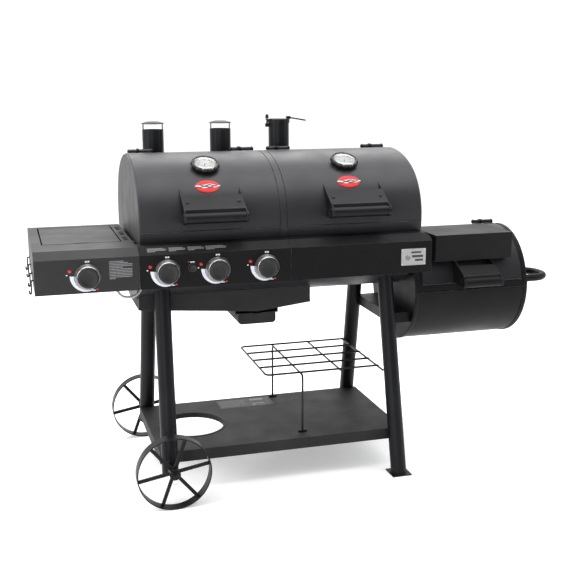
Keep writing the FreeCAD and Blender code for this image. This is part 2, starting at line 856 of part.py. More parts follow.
def make_controls():
    for label, x in zip(("left", "middle", "right"), knob_places):
        make_knob(f"burner_knob_{label}", x)
    make_knob("side_burner_knob", dim.side_knob)
    bezels = [
        ring("knob_bezel", dim.knob_bezel, dim.knob_radius + 1.2, 7,
             (x, dim.shelf_front - 7, dim.knob_height), "Y")
        for x in knob_places + [dim.side_knob]
    ]
    node("knob_bezels", group("knob_bezel_set", bezels))
    button = fuse("igniter_body", [
        cylinder("button_cap", 11, 9, (dim.igniter_x, dim.shelf_front - 12, 817), "Y"),
        cylinder("button_stem", 8, 30, (dim.igniter_x, dim.shelf_front - 4, 817), "Y"),
    ])
    node("igniter_button", button)


def make_gas_line():
    """Manifold pipe behind the panel with one valve a knob, and the side burner's hose."""
    height = dim.knob_height
    valve_front = dim.shelf_front + metal
    outlet = -313
    parts = [cylinder("manifold_pipe", MANIFOLD_RADIUS, 350, (-590, MANIFOLD_DEPTH, height), "X")]
    parts += [cylinder("valve_body", 12, 80, (x, valve_front, height), "Y") for x in knob_places]
    parts += [
        cylinder("side_valve_body", 12, 72, (dim.side_knob, valve_front, height), "Y"),
        cylinder("side_valve_outlet", 7, 42, (dim.side_knob, outlet, height), "X"),
        cylinder("side_burner_feed", 6.5, 268, (dim.side_knob, valve_front + 60, height), "Y"),
        cylinder("side_burner_riser", 5, 33.1, (dim.side_knob, -44, height), "Z"),
    ]
    shaft_holes = [
        cylinder("shaft_bore", 4 + dim.hinge_play, 45, (x, valve_front - 1, height), "Y")
        for x in knob_places + [dim.side_knob]
    ]
    node("gas_manifold", cut("gas_manifold_body", fuse("manifold_whole", parts), shaft_holes))
    start = dim.side_knob + 42
    low = 721
    hose, radii = bent_rod("gas_hose_body", 4, [
        (start, outlet, height), (-735, -312, height), (-715, -309, low), (-650, -306, low),
        (-632, -302, height), (-590, MANIFOLD_DEPTH, height),
    ])
    print("hose bends", [round(item, 1) for item in radii])
    node("gas_hose", hose)


def make_burners():
    tubes = [
        cylinder("burner_tube", BURNER_RADIUS, 420, (x, -272, dim.knob_height), "Y")
        for x in knob_places
    ]
    node("burner_tubes", group("burner_tube_set", tubes))
    tents = []
    ridge = 872
    eave = 842
    for x in knob_places:
        body = new_body("heat_tent_body", (x, 280, 0))
        corners = [(-40, eave), (ZERO, ridge), (40, eave), (38.5, eave - 2), (ZERO, ridge - 2.6),
                   (-38.5, eave - 2)]
        pad(body, outline(body, "XZ_Plane", corners), 560)
        tents.append(within_barrel("heat_tent", body))
    doc.recompute()
    node("heat_tents", group("heat_tent_set", tents))


def bar_grate(name, left, right, count):
    """A cast grate: bars from front to back on three cross ties."""
    front = -262
    back = 262
    bar = 7
    pitch = (right - left - bar) / (count - 1)
    parts = [
        box("grate_bar", (left + i * pitch, front, GRATE_BOTTOM + 2),
            (left + i * pitch + bar, back, GRATE_TOP))
        for i in range(count)
    ]
    for y in (front, -5, back - 10):
        parts.append(box("grate_tie", (left, y, GRATE_BOTTOM), (right, y + 10, GRATE_TOP - 3)))
    node(name, fuse(name + "_body", parts))


def warming_rack(x_low, x_high):
    """A small wire shelf along the back of a chamber."""
    height = 1000
    front = 70
    back = 236
    wires = [rod_between("rack_side", 3, (x, front, height), (x, back, height))
             for x in (x_low, x_high)]
    wires += [rod_between("rack_rod", 2.5, (x_low, y, height), (x_high, y, height))
              for y in range(front, back + 1, 16)]
    wires += [rod_between("rack_arm", 3, (x, back, height), (x, 280, height)) for x in (x_low, x_high)]
    return within_barrel("warming_rack", fuse("warming_rack_wires", wires))


def make_chamber_insides():
    gas_left = float(dim.barrel_left) + 8
    gas_right = float(divider_left) - 4
    coal_left = float(divider_right) + 4
    coal_right = float(dim.barrel_right) - 8
    bar_grate("gas_cooking_grate", gas_left, gas_right, 22)
    bar_grate("charcoal_cooking_grate", coal_left, coal_right, 22)
    racks = [warming_rack(gas_left + 30, gas_right - 30), warming_rack(coal_left + 30, coal_right - 30)]
    node("warming_racks", group("warming_rack_set", racks))
    tray = cut("coal_tray_solid",
               box("coal_tray_outside", (-130, -205, 752), (300, 205, 790)),
               [box("coal_tray_inside", (-128, -203, 754), (298, 203, 791))])
    slots = [box("coal_slot", (-112 + i * 41, y, 750), (-84 + i * 41, y + 150, 756))
             for i in range(10) for y in (-180, 30)]
    long_feet = [box("coal_foot", (x, y, 650), (x + 5, y + 5, 753))
                 for x in (-120, 286) for y in (-110, 106)]
    standing = within_barrel("coal_feet", fuse("coal_feet_long", long_feet))
    node("coal_tray", fuse("coal_tray_body", [cut("coal_tray_pierced", tray, slots), standing]))


# ------------------------------------------------------------------ chimneys

def stack_tube(name, x, top):
    wall = ring(name, dim.stack_radius, dim.stack_radius - dim.stack_wall, top - 1040,
                (x, dim.stack_depth, 1040))
    return cut(name + "_seated", wall, [barrel_solid])


def make_gas_stacks():
    tubes = []
    caps = []
    for x in stack_places[:2]:
        tubes.append(stack_tube("gas_stack", x, dim.gas_stack_top))
        rods = [
            cylinder("rain_cap_rod", 2, dim.rain_cap_height - dim.gas_stack_top + 32,
                     (x + side * 34.5, dim.stack_depth, dim.gas_stack_top - 31))
            for side in (-1, 1)
        ]
        plate = cylinder("rain_cap_plate", dim.rain_cap_radius, 3,
                         (x, dim.stack_depth, dim.rain_cap_height))
        dome = doc.addObject("Part::Cone", "rain_cap_dome")
        dome.Radius1 = 38
        dome.Radius2 = 22
        dome.Height = 5
        place(dome, (x, dim.stack_depth, dim.rain_cap_height + 3))
        caps.append(fuse("rain_cap", [plate, dome] + rods))
    node("gas_stacks", group("gas_stack_set", tubes))
    node("rain_caps", group("rain_cap_set", caps))


DAMPER_PIVOT = 45


def make_charcoal_stack():
    x = dim.stack_third
    depth = dim.stack_depth
    top = dim.coal_stack_top
    pivot = x - DAMPER_PIVOT
    collar = ring("stack_collar", dim.stack_radius + 2.5, dim.stack_radius - 0.5, 12,
                  (x, depth, top - 12))
    lug = box("pivot_lug", (pivot - 6, depth - 6, top - 26),
              (x - dim.stack_radius + 1, depth + 6, top - 13))
    bolt = cylinder("pivot_bolt", 3, 40, (pivot, depth, top - 26))
    nut = cylinder("pivot_nut", 6, 8, (pivot, depth, top + 6))
    nut_top = doc.addObject("Part::Cone", "pivot_nut_top")
    nut_top.Radius1 = 6
    nut_top.Radius2 = 3
    nut_top.Height = 6
    place(nut_top, (pivot, depth, top + 14))
    tube = stack_tube("charcoal_stack_tube", x, top)
    post = fuse("charcoal_stack_body", [tube, collar, lug, bolt, nut, nut_top])
    node("charcoal_stack", post)
    blade = fuse("stack_damper_blade", [
        cylinder("damper_disc", dim.stack_radius + 1, 2, (x, depth, top + 1)),
        box("damper_ear", (pivot - 7, depth - 8, top + 1), (x - 20, depth + 8, top + 3)),
        box("damper_clamp", (x + 30, depth - 7, top + 1), (x + 44, depth + 7, top + 12)),
        rod_between("damper_arm", 2.6, (x + 40, depth, top + 7), (x + 104, depth - 3, top - 4)),
    ])
    hole = cylinder("damper_hole", 3 + dim.hinge_play, 6, (pivot, depth, top - 1))
    node("stack_damper", cut("stack_damper_body", blade, [hole]))


# ------------------------------------------------------------------ stand

def leg_bar(name, x, side, lean, radius, low):
    """A round bar along a leg's axis from a height up into the barrel."""
    way = V(lean * float(dim.leg_lean), -side * float(dim.leg_splay), 1)
    depth = side * (dim.leg_spread - dim.leg_splay * low)
    return cylinder(name, radius, 800 - low, (x + lean * dim.leg_lean * low, depth, as_size(low)), way)


LEGS = (("front_left_leg", "left_leg", -1, 1, 92), ("rear_left_leg", "left_leg", 1, 1, 92),
        ("front_right_leg", "right_leg", -1, -1, -30), ("rear_right_leg", "right_leg", 1, -1, -30))


def make_legs():
    for name, alias, side, lean, low in LEGS:
        x = getattr(dim, alias)
        outer = leg_bar(name + "_outer", x, side, lean, dim.leg_radius, low)
        inner = leg_bar(name + "_inner", x, side, lean, dim.leg_radius - dim.leg_wall, low - 5)
        tools = [inner, barrel_solid]
        if low > 0:
            tools.append(cylinder("axle_hole", dim.axle_radius, 800,
                                  (wheel_x, -400, dim.wheel_radius), "Y"))
            node(name, cut(name + "_body", outer, tools))
        else:
            ground = box("ground", (x - 100, side * dim.leg_spread - 100, -100),
                         (x + 100, side * dim.leg_spread + 100, dim.foot_metal))
            tube = cut(name + "_tube", outer, tools + [ground])
            half_plate = dim.foot_plate / 2
            middle = side * dim.leg_spread
            plate = box(name + "_plate", (x - half_plate, middle - half_plate, ZERO),
                        (x + half_plate, middle + half_plate, dim.foot_metal))
            node(name, fuse(name + "_body", [tube, plate]))


wheel_x = dim.left_leg + dim.leg_lean * dim.wheel_radius


def make_bottom_shelf():
    left, right = dim.bottom_shelf_left, dim.bottom_shelf_right
    deep = dim.bottom_shelf_half
    top = dim.bottom_shelf_top
    body = new_body("shelf_folded", (left, 0, top - dim.bottom_shelf_rim))
    length = right - left
    plate = outline(body, "XY_Plane", rectangle((ZERO, -deep), (length, deep)))
    pad(body, plate, dim.bottom_shelf_rim)
    doc.recompute()
    hollow = rectangle((metal, -deep + metal), (length - metal, deep - metal))
    pocket(body, outline(body, "XY_Plane", hollow), True, dim.bottom_shelf_rim - metal)
    hole_x = dim.tank_hole_x
    radius = dim.tank_hole_radius
    collar = cylinder("tank_collar", radius + metal, dim.tank_collar, (hole_x, 0, top - dim.tank_collar))
    opening = cylinder("tank_opening", radius, dim.bottom_shelf_rim,
                       (hole_x, 0, top - dim.bottom_shelf_rim + 5))
    legs = [leg_bar("leg_notch", getattr(dim, alias), side, lean, dim.leg_radius, 80)
            for name, alias, side, lean, low in LEGS]
    node("bottom_shelf", cut("bottom_shelf_body", fuse("shelf_joined", [body, collar]), [opening] + legs))


def make_wheels():
    for label, side in (("front", -1), ("rear", 1)):
        centre = side * dim.wheel_depth
        inner_face = centre - dim.wheel_width / 2
        band = ring("wheel_band", dim.wheel_radius, dim.wheel_radius - dim.wheel_band, dim.wheel_width,
                    (wheel_x, inner_face, dim.wheel_radius), "Y")
        hub = cylinder("wheel_hub", dim.hub_radius, 2 * dim.hub_half,
                       (wheel_x, centre - dim.hub_half, dim.wheel_radius), "Y")
        spokes = []
        for k in range(6):
            spoke = doc.addObject("Part::Box", "wheel_spoke")
            spoke.Length = float(dim.wheel_radius) - 14
            bind(spoke, "Length", dim.wheel_radius - 14)
            spoke.Width = float(dim.spoke_metal)
            spoke.Height = float(dim.spoke_width)
            turn = FreeCAD.Rotation(V(0, 1, 0), -(10 + 60 * k))
            start = turn.multVec(V(12, -float(dim.spoke_metal) / 2, -float(dim.spoke_width) / 2))
            place(spoke, (wheel_x + start.x, centre + start.y, dim.wheel_radius + start.z), turn)
            spokes.append(spoke)
        bore = cylinder("wheel_bore", dim.axle_radius + dim.axle_play, 80,
                        (wheel_x, centre - 40, dim.wheel_radius), "Y")
        node(f"{label}_wheel", cut("wheel_body", fuse("wheel_whole", [band, hub] + spokes), [bore]))
    end = dim.axle_end
    stops = [cylinder("axle_rod", dim.axle_radius, 2 * end, (wheel_x, -end, dim.wheel_radius), "Y")]
    for side in (-1, 1):
        stops.append(ring("axle_washer", 15, dim.axle_radius, 3,
                          (wheel_x, side * 317 - 1.5, dim.wheel_radius), "Y"))
        stops.append(ring("axle_washer", 15, dim.axle_radius, 3,
                          (wheel_x, side * 373 - 1.5, dim.wheel_radius), "Y"))
        stops.append(cylinder("hitch_pin", 1.6, 24, (wheel_x, side * 379, dim.wheel_radius - 12)))
    node("axle", fuse("axle_dressed", stops))


def make_wire_rack():
    """A welded grid on two posts and the right legs; the cross wires lie under the long ones."""
    left, right = dim.rack_left, dim.rack_right
    front, back = dim.rack_front, dim.rack_back
    level = dim.rack_height
    wire = dim.rack_wire
    under = level - 1.5 * wire
    foot_level = dim.bottom_shelf_top + wire
    post_x = -66
    post_front = -185
    leg_reach = 214
    overhang = 4
    pitch = (back - front) / 4
    parts = []
    for i in range(5):
        y = front + i * pitch
        parts.append(rod_between("long_wire", wire, (left - overhang, y, level), (right, y, level)))
    for x, start in ((left, front), (post_x, as_size(post_front)), (84, front)):
        ends = (x, start - overhang, under), (x, back + overhang, under)
        parts.append(rod_between("cross_wire", wire, *ends))
    parts.append(rod_between("right_wire", wire, (right, -leg_reach, under), (right, leg_reach, under)))
    for y in (as_size(post_front), back):
        parts.append(rod_between("post", wire * 0.9, (post_x, y, foot_level), (post_x, y, under)))
        ends = (post_x - 16, y, foot_level), (post_x + 16, y, foot_level)
        parts.append(rod_between("post_foot", wire, *ends))
    node("wire_rack", fuse("wire_rack_body", parts))


CUP_LEFT, CUP_RIGHT, CUP_FRONT, CUP_BACK, CUP_RIM = -278, -140, -97, 86, 586


def cup_rail(edge, side, top):
    """An angle under the pan that one lip of the cup slides on."""
    inner, outer = edge + 2 * side, edge + 9 * side
    web = outer - 1.5 * side
    shelf_low = CUP_RIM - 3.3
    return fuse("cup_rail", [
        box("rail_foot", (min(inner, outer), CUP_FRONT + 2, shelf_low),
            (max(inner, outer), CUP_BACK + 3, shelf_low + 1.5)),
        box("rail_web", (min(web, outer), CUP_FRONT + 2, shelf_low), (max(web, outer), CUP_BACK + 3, top)),
    ])


def make_grease_pan():
    """A shallow V under the gas chamber that drains into the cup."""
    front = -118
    back = 115
    left, low, right = (-630, 628), (-209, 596), (-17, 618)
    sides = 10
    gauge_metal = 1.5
    body = new_body("grease_pan_body", (0, back, 0))
    floor = [left, low, right, (right[0], right[1] + gauge_metal), (low[0], low[1] + gauge_metal),
             (left[0], left[1] + gauge_metal)]
    wall = [left, low, right, (right[0], right[1] + sides), (low[0], low[1] + sides),
            (left[0], left[1] + sides)]
    pad(body, outline(body, "XZ_Plane", floor), back - front)
    doc.recompute()
    for lift in (0, -(back - front - gauge_metal)):
        pad(body, outline(body, "XZ_Plane", wall, -lift), gauge_metal)
        doc.recompute()
    hangers = []
    for x in (-600, -45):
        for y in (front, back - gauge_metal):
            hangers.append(box("pan_hanger", (x, y, 622), (x + 18, y + gauge_metal, 720)))
    trimmed = cut("pan_hangers", fuse("pan_hangers_long", hangers), [barrel_solid])
    drain = cylinder("pan_drain", 20, 30, (low[0], 0, low[1] - 8))
    rails = [cup_rail(CUP_LEFT, -1, 602.5), cup_rail(CUP_RIGHT, 1, 605.5)]
    hung = fuse("grease_pan_hung", [body, trimmed] + rails)
    node("grease_pan", cut("grease_pan_drained", hung, [drain]))


def make_grease_cup():
    floor, rim = 546, CUP_RIM
    outside = box("cup_outside", (CUP_LEFT, CUP_FRONT, floor), (CUP_RIGHT, CUP_BACK, rim))
    rounded = doc.addObject("Part::Fillet", "cup_rounded")
    rounded.Base = outside
    doc.recompute()
    low_edges = [i for i, edge in enumerate(outside.Shape.Edges, start=1)
                 if edge.BoundBox.ZMax < floor + 1 and edge.BoundBox.YLength > 1]
    rounded.Edges = [(i, 14, 14) for i in low_edges]
    inside = box("cup_inside", (CUP_LEFT + 1.5, CUP_FRONT + 1.5, floor + 1.5),
                 (CUP_RIGHT - 1.5, CUP_BACK - 1.5, rim + 1))
    inner_round = doc.addObject("Part::Fillet", "cup_inner_rounded")
    inner_round.Base = inside
    doc.recompute()
    low_edges = [i for i, edge in enumerate(inside.Shape.Edges, start=1)
                 if edge.BoundBox.ZMax < floor + 2 and edge.BoundBox.YLength > 1]
    inner_round.Edges = [(i, 12.5, 12.5) for i in low_edges]
    lips = [
        box("cup_lip", (CUP_LEFT - 6, CUP_FRONT, rim - 1.6), (CUP_LEFT + 1, CUP_BACK, rim)),
        box("cup_lip", (CUP_RIGHT - 1, CUP_FRONT, rim - 1.6), (CUP_RIGHT + 6, CUP_BACK, rim)),
    ]
    basin = cut("cup_basin", rounded, [inner_round])
    pull = box("cup_pull", (-225, CUP_FRONT - 12, rim - 2), (-193, CUP_FRONT + 1, rim))
    node("grease_cup", fuse("grease_cup_body", [basin, pull] + lips))


def make_tool_hooks():
    hooks = []
    for y in (-338, -222, -70, 58):
        x = dim.table_left
        route = [(x, y, 800), (x - 8, y, 800), (x - 8.5, y, 780), (x - 8, y, 764), (x - 11, y, 757),
                 (x - 14, y, 759), (x - 14.5, y, 769)]
        hooks.append(bent_rod("tool_hook", 2.4, route)[0])
    node("tool_hooks", group("tool_hook_set", hooks))


# ------------------------------------------------------------------ firebox

fire_x = dim.firebox_left
fire_centre = (ZERO, dim.firebox_height)
fire_radius = dim.firebox_radius


def fire_point(radius, up):
    """Depth on a circle round the firebox's axis at a height, as a positive number."""
    over = up - dim.firebox_height
    return square_root(radius * radius - over * over)


def round_below(radius, up):
    """Corners of the arc of a firebox circle that hangs below a level, front to back."""
    reach = fire_point(radius, up)
    return [arc(-reach, up, fire_centre, radius),
            arc(ZERO, dim.firebox_height - radius, fire_centre, radius), (reach, up)]


def round_above(radius, up):
    reach = fire_point(radius, up)
    return [arc(reach, up, fire_centre, radius),
            arc(ZERO, dim.firebox_height + radius, fire_centre, radius), (-reach, up)]


def two_radii(outer, inner):
    """Close an outer arc with the same arc at a smaller radius, run backwards."""
    back = [arc(*inner[2], *inner[0][2:]), arc(inner[1][0], inner[1][1], *inner[0][2:]), inner[0][:2]]
    return outer + back


fire_length = dim.firebox_right - dim.firebox_left
fire_solid = cylinder("firebox_solid", fire_radius, fire_length, (fire_x, 0, dim.firebox_height), "X")


def make_firebox_shells():
    left = fire_x + dim.cap_plate
    length = fire_length - 2 * dim.cap_plate
    seam = dim.firebox_seam
    inner = fire_radius - metal
    flange = rectangle((-fire_radius - 4, seam - 2), (-fire_radius + 1.5, seam))
    lower = sheet_along_x("firebox_lower_sheet", left, [
        (two_radii(round_below(fire_radius, seam), round_below(inner, seam)), 0, length),
        (flange, 0, length),
    ])
    ledges = [box("fire_grate_ledge", (left, low, 518), (left + length, high, 521))
              for low, high in ((-168, -159), (159, 168))]
    node("firebox_lower_shell", fuse("firebox_lower_body", [lower] + ledges))
    upper = sheet_along_x("firebox_upper_sheet", left, [
        (two_radii(round_above(fire_radius, seam), round_above(inner, seam)), 0, length),
    ])
    door = box("firebox_doorway", (dim.firebox_lid_left + 14, -260, dim.firebox_lid_edge + 12),
               (dim.firebox_lid_right - 14, 8, 900))
    node("firebox_upper_shell", cut("firebox_upper_body", upper, [door]))


def make_firebox_ends():
    plate = dim.cap_plate
    left = new_body("firebox_left_body", (fire_x, 0, 0))
    pad(left, circles(left, "YZ_Plane", [(ZERO, dim.firebox_height, fire_radius)]), plate)
    doc.recompute()
    pocket(left, outline(left, "YZ_Plane", rectangle((-80, 700), (80, 815))), True)
    right = new_body("firebox_right_body", (dim.firebox_right - plate, 0, 0))
    pad(right, circles(right, "YZ_Plane", [(ZERO, dim.firebox_height, fire_radius)]), plate)
    doc.recompute()
    pocket(right, outline(right, "YZ_Plane", round_below(fire_radius - metal, as_size(600))), True)
    node("firebox_right_end", right)
    duct = cut("smoke_duct_body",
               box("duct_outside", (dim.barrel_right, -83, 697), (fire_x, 83, 818)),
               [box("duct_inside", (dim.barrel_right - 5, -80, 700), (fire_x + 5, 80, 815))])
    node("firebox_left_end", fuse("firebox_left_whole", [left, duct]))


def make_firebox_bracket():
    legs = [leg_bar("bracket_leg", dim.right_leg, side, -1, dim.leg_radius, 400) for side in (-1, 1)]
    channel = cut("bracket_channel",
                  box("bracket_outside", (270, -165, 527), (fire_x, 165, 565)),
                  [box("bracket_inside", (272.5, -162.5, 520), (fire_x - 2.5, 162.5, 562.5))] + legs)
    node("firebox_bracket", channel)


FIREBOX_HINGES = (392, 699)


def make_firebox_lid():
    left, right = dim.firebox_lid_left, dim.firebox_lid_right
    inner = fire_radius + dim.lid_gap
    outer = inner + dim.lid_metal
    low = dim.firebox_lid_edge
    rear = 20
    section = [
        arc(-fire_point(outer, low), low, fire_centre, outer),
        (as_size(rear), dim.firebox_height + square_root(outer * outer - rear * rear)),
        arc(as_size(rear), dim.firebox_height + square_root(inner * inner - rear * rear),
            fire_centre, inner),
        (-fire_point(inner, low), low),
    ]
    lip_root = -fire_point(outer, low)
    lip = rectangle((lip_root - 4, low), (lip_root + 1, low + metal))
    length = right - left
    parts = [sheet_along_x("firebox_lid_sheet", left, [(section, 0, length), (lip, 0, length)])]
    for hinge in FIREBOX_HINGES:
        parts += lid_knuckles(hinge, dim.firebox_hinge_depth, dim.firebox_hinge_height, 845.4, 849.6)
    node("firebox_lid", fuse("firebox_lid_body", parts))

    front = -outer - 2.2
    top = dim.hood_top
    bottom = dim.hood_bottom
    hood = [(as_size(4), top), (front, top), (front, bottom), (front + 2, bottom), (front + 2, top - 2),
            (as_size(4), top - 2)]
    seat = outer + 0.1
    seat_top = as_size(-60)
    gusset = [
        (front + 1, top - 1), (front + 1, bottom),
        arc(-fire_point(seat, bottom), bottom, fire_centre, seat),
        (seat_top, dim.firebox_height + square_root(seat * seat - seat_top * seat_top)),
        (seat_top, top - 1),
    ]
    span = dim.hood_right - dim.hood_left
    body = sheet_along_x("hood_body", dim.hood_left, [
        (hood, 0, span), (gusset, 0, 2), (gusset, span - 2, 2),
    ])
    node("firebox_lid_shelf", body)

    handle_top = bottom - 2
    handle("firebox_lid_handle", as_size(503), as_size(648), (front + 2.5, handle_top),
           (-fire_point(seat, as_size(676)), as_size(676)), fire_centre, seat,
           dim.firebox_grip_depth, dim.firebox_grip_height,
           heel=(-fire_point(seat, handle_top), handle_top))


def make_fire_grate():
    bars = [box("fire_bar", (366, y, 521), (786, y + 9, 531)) for y in range(-162, 154, 21)]
    ties = [box("fire_tie", (x, -162, 521), (x + 10, 162, 527)) for x in (380, 571, 762)]
    node("fire_grate", fuse("fire_grate_body", bars + ties))


def make_ash_drawer():
    left = as_size(362)
    rim = as_size(507)
    outer = dim.drawer_radius
    inner = outer - 1.5
    face = dim.firebox_right + 0.5
    tray = two_radii(round_below(outer, rim), round_below(inner, rim))
    front = round_below(fire_radius - 0.5, as_size(668))
    back = round_below(outer, rim)
    length = face - left
    body = sheet_along_x("ash_tray_body", left, [
        (tray, 0, length), (back, 0, 2), (front, length, 3),
    ])
    vent_height = 545
    vents = []
    for k in range(3):
        turn = math.radians(90 + 120 * k)
        y, z = 20 * math.cos(turn), vent_height + 20 * math.sin(turn)
        vents.append(cylinder("drawer_vent", 9, 20, (face - 8, y, z), "X"))
    tray_vented = cut("drawer_vented", body, vents)
    pivot = cylinder("vent_pivot", 3, 9, (face + 2, 0, vent_height), "X")
    pivot_head = cylinder("vent_pivot_head", 6, 2, (face + 5.6, 0, vent_height), "X")
    reach = dim.drawer_end - 14
    start = face + 3
    loop, radii = bent_rod("drawer_handle_body", 14, [
        (start, -72, 640), (reach, -72, 640), (reach, 72, 640), (start, 72, 640)])
    print("drawer handle bends", [round(item, 1) for item in radii])
    node("ash_drawer", fuse("ash_drawer_body", [tray_vented, pivot, pivot_head, loop]))
    disc = cylinder("damper_plate", 34, 1.6, (face + 3.4, 0, vent_height), "X")
    tab = box("damper_tab", (face + 3.4, -5, vent_height + 30), (face + 12, 5, vent_height + 33))
    holes = [cylinder("damper_bore", 3 + dim.hinge_play, 12, (face, 0, vent_height), "X")]
    for k in range(3):
        turn = math.radians(30 + 120 * k)
        y, z = 20 * math.cos(turn), vent_height + 20 * math.sin(turn)
        holes.append(cylinder("damper_vent", 9, 12, (face, y, z), "X"))
    node("air_damper", cut("air_damper_body", fuse("air_damper_plate", [disc, tab]), holes))


def make_hinge_pins():
    pins = [fixed_hinge(x, dim.hinge_depth, dim.hinge_height, barrel_solid, 1128, 99)
            for x in GAS_HINGES + COAL_HINGES]
    pins += [fixed_hinge(x, dim.firebox_hinge_depth, dim.firebox_hinge_height, fire_solid, 820, 62)
             for x in FIREBOX_HINGES]
    node("lid_hinge_pins", group("lid_hinge_pin_set", pins))


# ------------------------------------------------------------------ build and export

def main():
    for make in (make_barrel_shell, make_end_caps, make_divider, make_lids, make_control_panel,
                 make_front_shelf, make_side_table, make_side_burner, make_side_burner_lid,
                 make_controls, make_gas_line, make_burners, make_chamber_insides, make_gas_stacks,
                 make_charcoal_stack, make_legs, make_bottom_shelf, make_wheels, make_wire_rack,
                 make_grease_pan, make_grease_cup, make_tool_hooks, make_firebox_shells,
                 make_firebox_ends, make_firebox_bracket, make_firebox_lid, make_fire_grate,
                 make_ash_drawer, make_hinge_pins):
        make()
    doc.recompute()
    faults = [item.Label for item in doc.Objects
              if "Invalid" in item.State or "Error" in item.State]
    for name, thing in nodes.items():
        if thing.Shape.isNull() or not thing.Shape.isValid() or not thing.Shape.Solids:
            faults.append(name)
    if faults:
        raise RuntimeError(f"failed: {faults}")
    os.makedirs("parts", exist_ok=True)
    whole = FreeCAD.BoundBox()
    for name, thing in nodes.items():
        thing.Shape.exportStep(f"parts/{name}.step")
        whole.add(thing.Shape.BoundBox)
    print(len(nodes), "sub-parts, box", whole)


main()
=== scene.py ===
"""Looks of the offset smoker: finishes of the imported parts, gauges, knobs, marks and small fittings."""

import math
from collections import namedtuple

import bmesh
import bpy
from mathutils import Matrix, Quaternion, Vector


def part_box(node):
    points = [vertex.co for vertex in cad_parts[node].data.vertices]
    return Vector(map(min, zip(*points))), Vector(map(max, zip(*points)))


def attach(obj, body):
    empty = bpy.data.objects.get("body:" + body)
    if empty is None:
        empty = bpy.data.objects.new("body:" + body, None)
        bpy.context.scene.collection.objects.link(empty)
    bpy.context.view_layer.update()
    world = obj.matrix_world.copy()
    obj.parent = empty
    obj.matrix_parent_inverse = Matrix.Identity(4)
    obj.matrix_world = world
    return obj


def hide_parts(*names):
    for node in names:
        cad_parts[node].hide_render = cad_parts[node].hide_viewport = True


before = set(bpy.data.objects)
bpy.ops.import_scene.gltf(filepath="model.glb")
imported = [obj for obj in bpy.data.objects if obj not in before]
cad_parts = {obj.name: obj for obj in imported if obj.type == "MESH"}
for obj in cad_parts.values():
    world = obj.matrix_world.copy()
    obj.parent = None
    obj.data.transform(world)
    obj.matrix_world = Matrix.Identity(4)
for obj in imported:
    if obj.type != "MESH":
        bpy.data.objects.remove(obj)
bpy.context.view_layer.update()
ROOT = "smoker_frame"
TURN = 2 * math.pi
LEFT = Vector((-1, 0, 0))
RIGHT = Vector((1, 0, 0))
FRONT = Vector((0, -1, 0))
BACK = Vector((0, 1, 0))
UP = Vector((0, 0, 1))

# Lid section: the crown arc and the front shoulder arc, seen from the end.
CROWN_Z = 0.7844
CROWN_RADIUS = 0.3664
SHOULDER_Y = -0.085
SHOULDER_Z = 0.930
SHOULDER_RADIUS = 0.1978
GAUGE_Y = -0.162
EMBLEM_RISE = 0.138
EMBLEM_SHIFT = -0.008

# Heights above the gauge's seat on the lid.
DIAL_LEVEL = 0.01402
NEEDLE_LEVEL = 0.0147
DIAL_START = 225
DIAL_SWEEP = 270

# Folded front: upright face, sloping band and flat top.
FACE_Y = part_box("control_panel")[0].y
TOP_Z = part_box("control_panel")[1].z
BAND_DEPTH = 0.033
BAND_DROP = 0.0226
KNOBS = ("burner_knob_left", "burner_knob_middle", "burner_knob_right", "side_burner_knob")
BEZEL_EDGE = 0.0418
PRINT = 0.00025
THIN_PRINT = 0.0002

# Handles, in (y, z): middle of the grip, bolt on the shield, the shield's normal and its lower edge.
Handle = namedtuple("Handle", "grip bolt normal edge lip_share")
LID_HANDLE = Handle((-0.337, 0.968), (-0.3013, 1.0144), (-0.526, 0.851), (-0.3317, 0.9957), 1.0)
FIREBOX_HANDLE = Handle((-0.285, 0.687), (-0.2405, 0.7255), (-0.64, 0.77), (-0.2830, 0.7118), 0.8)
HANDLES = {"gas_lid": LID_HANDLE, "charcoal_lid": LID_HANDLE, "firebox_lid": FIREBOX_HANDLE}
GRIP_RADIUS = 0.0175

# Hinges: left end of the pin, and its axis.
HINGES = [(left, 0.075, 1.152) for left in (-0.618, -0.255, -0.118, 0.247)]
HINGES += [(left, 0.038, 0.853) for left in (0.392, 0.699)]
HINGE_LENGTH = 0.074

FIREBOX_Z = 0.638
TANK_X = -0.435


# ------------------------------------------------------------------ finishes

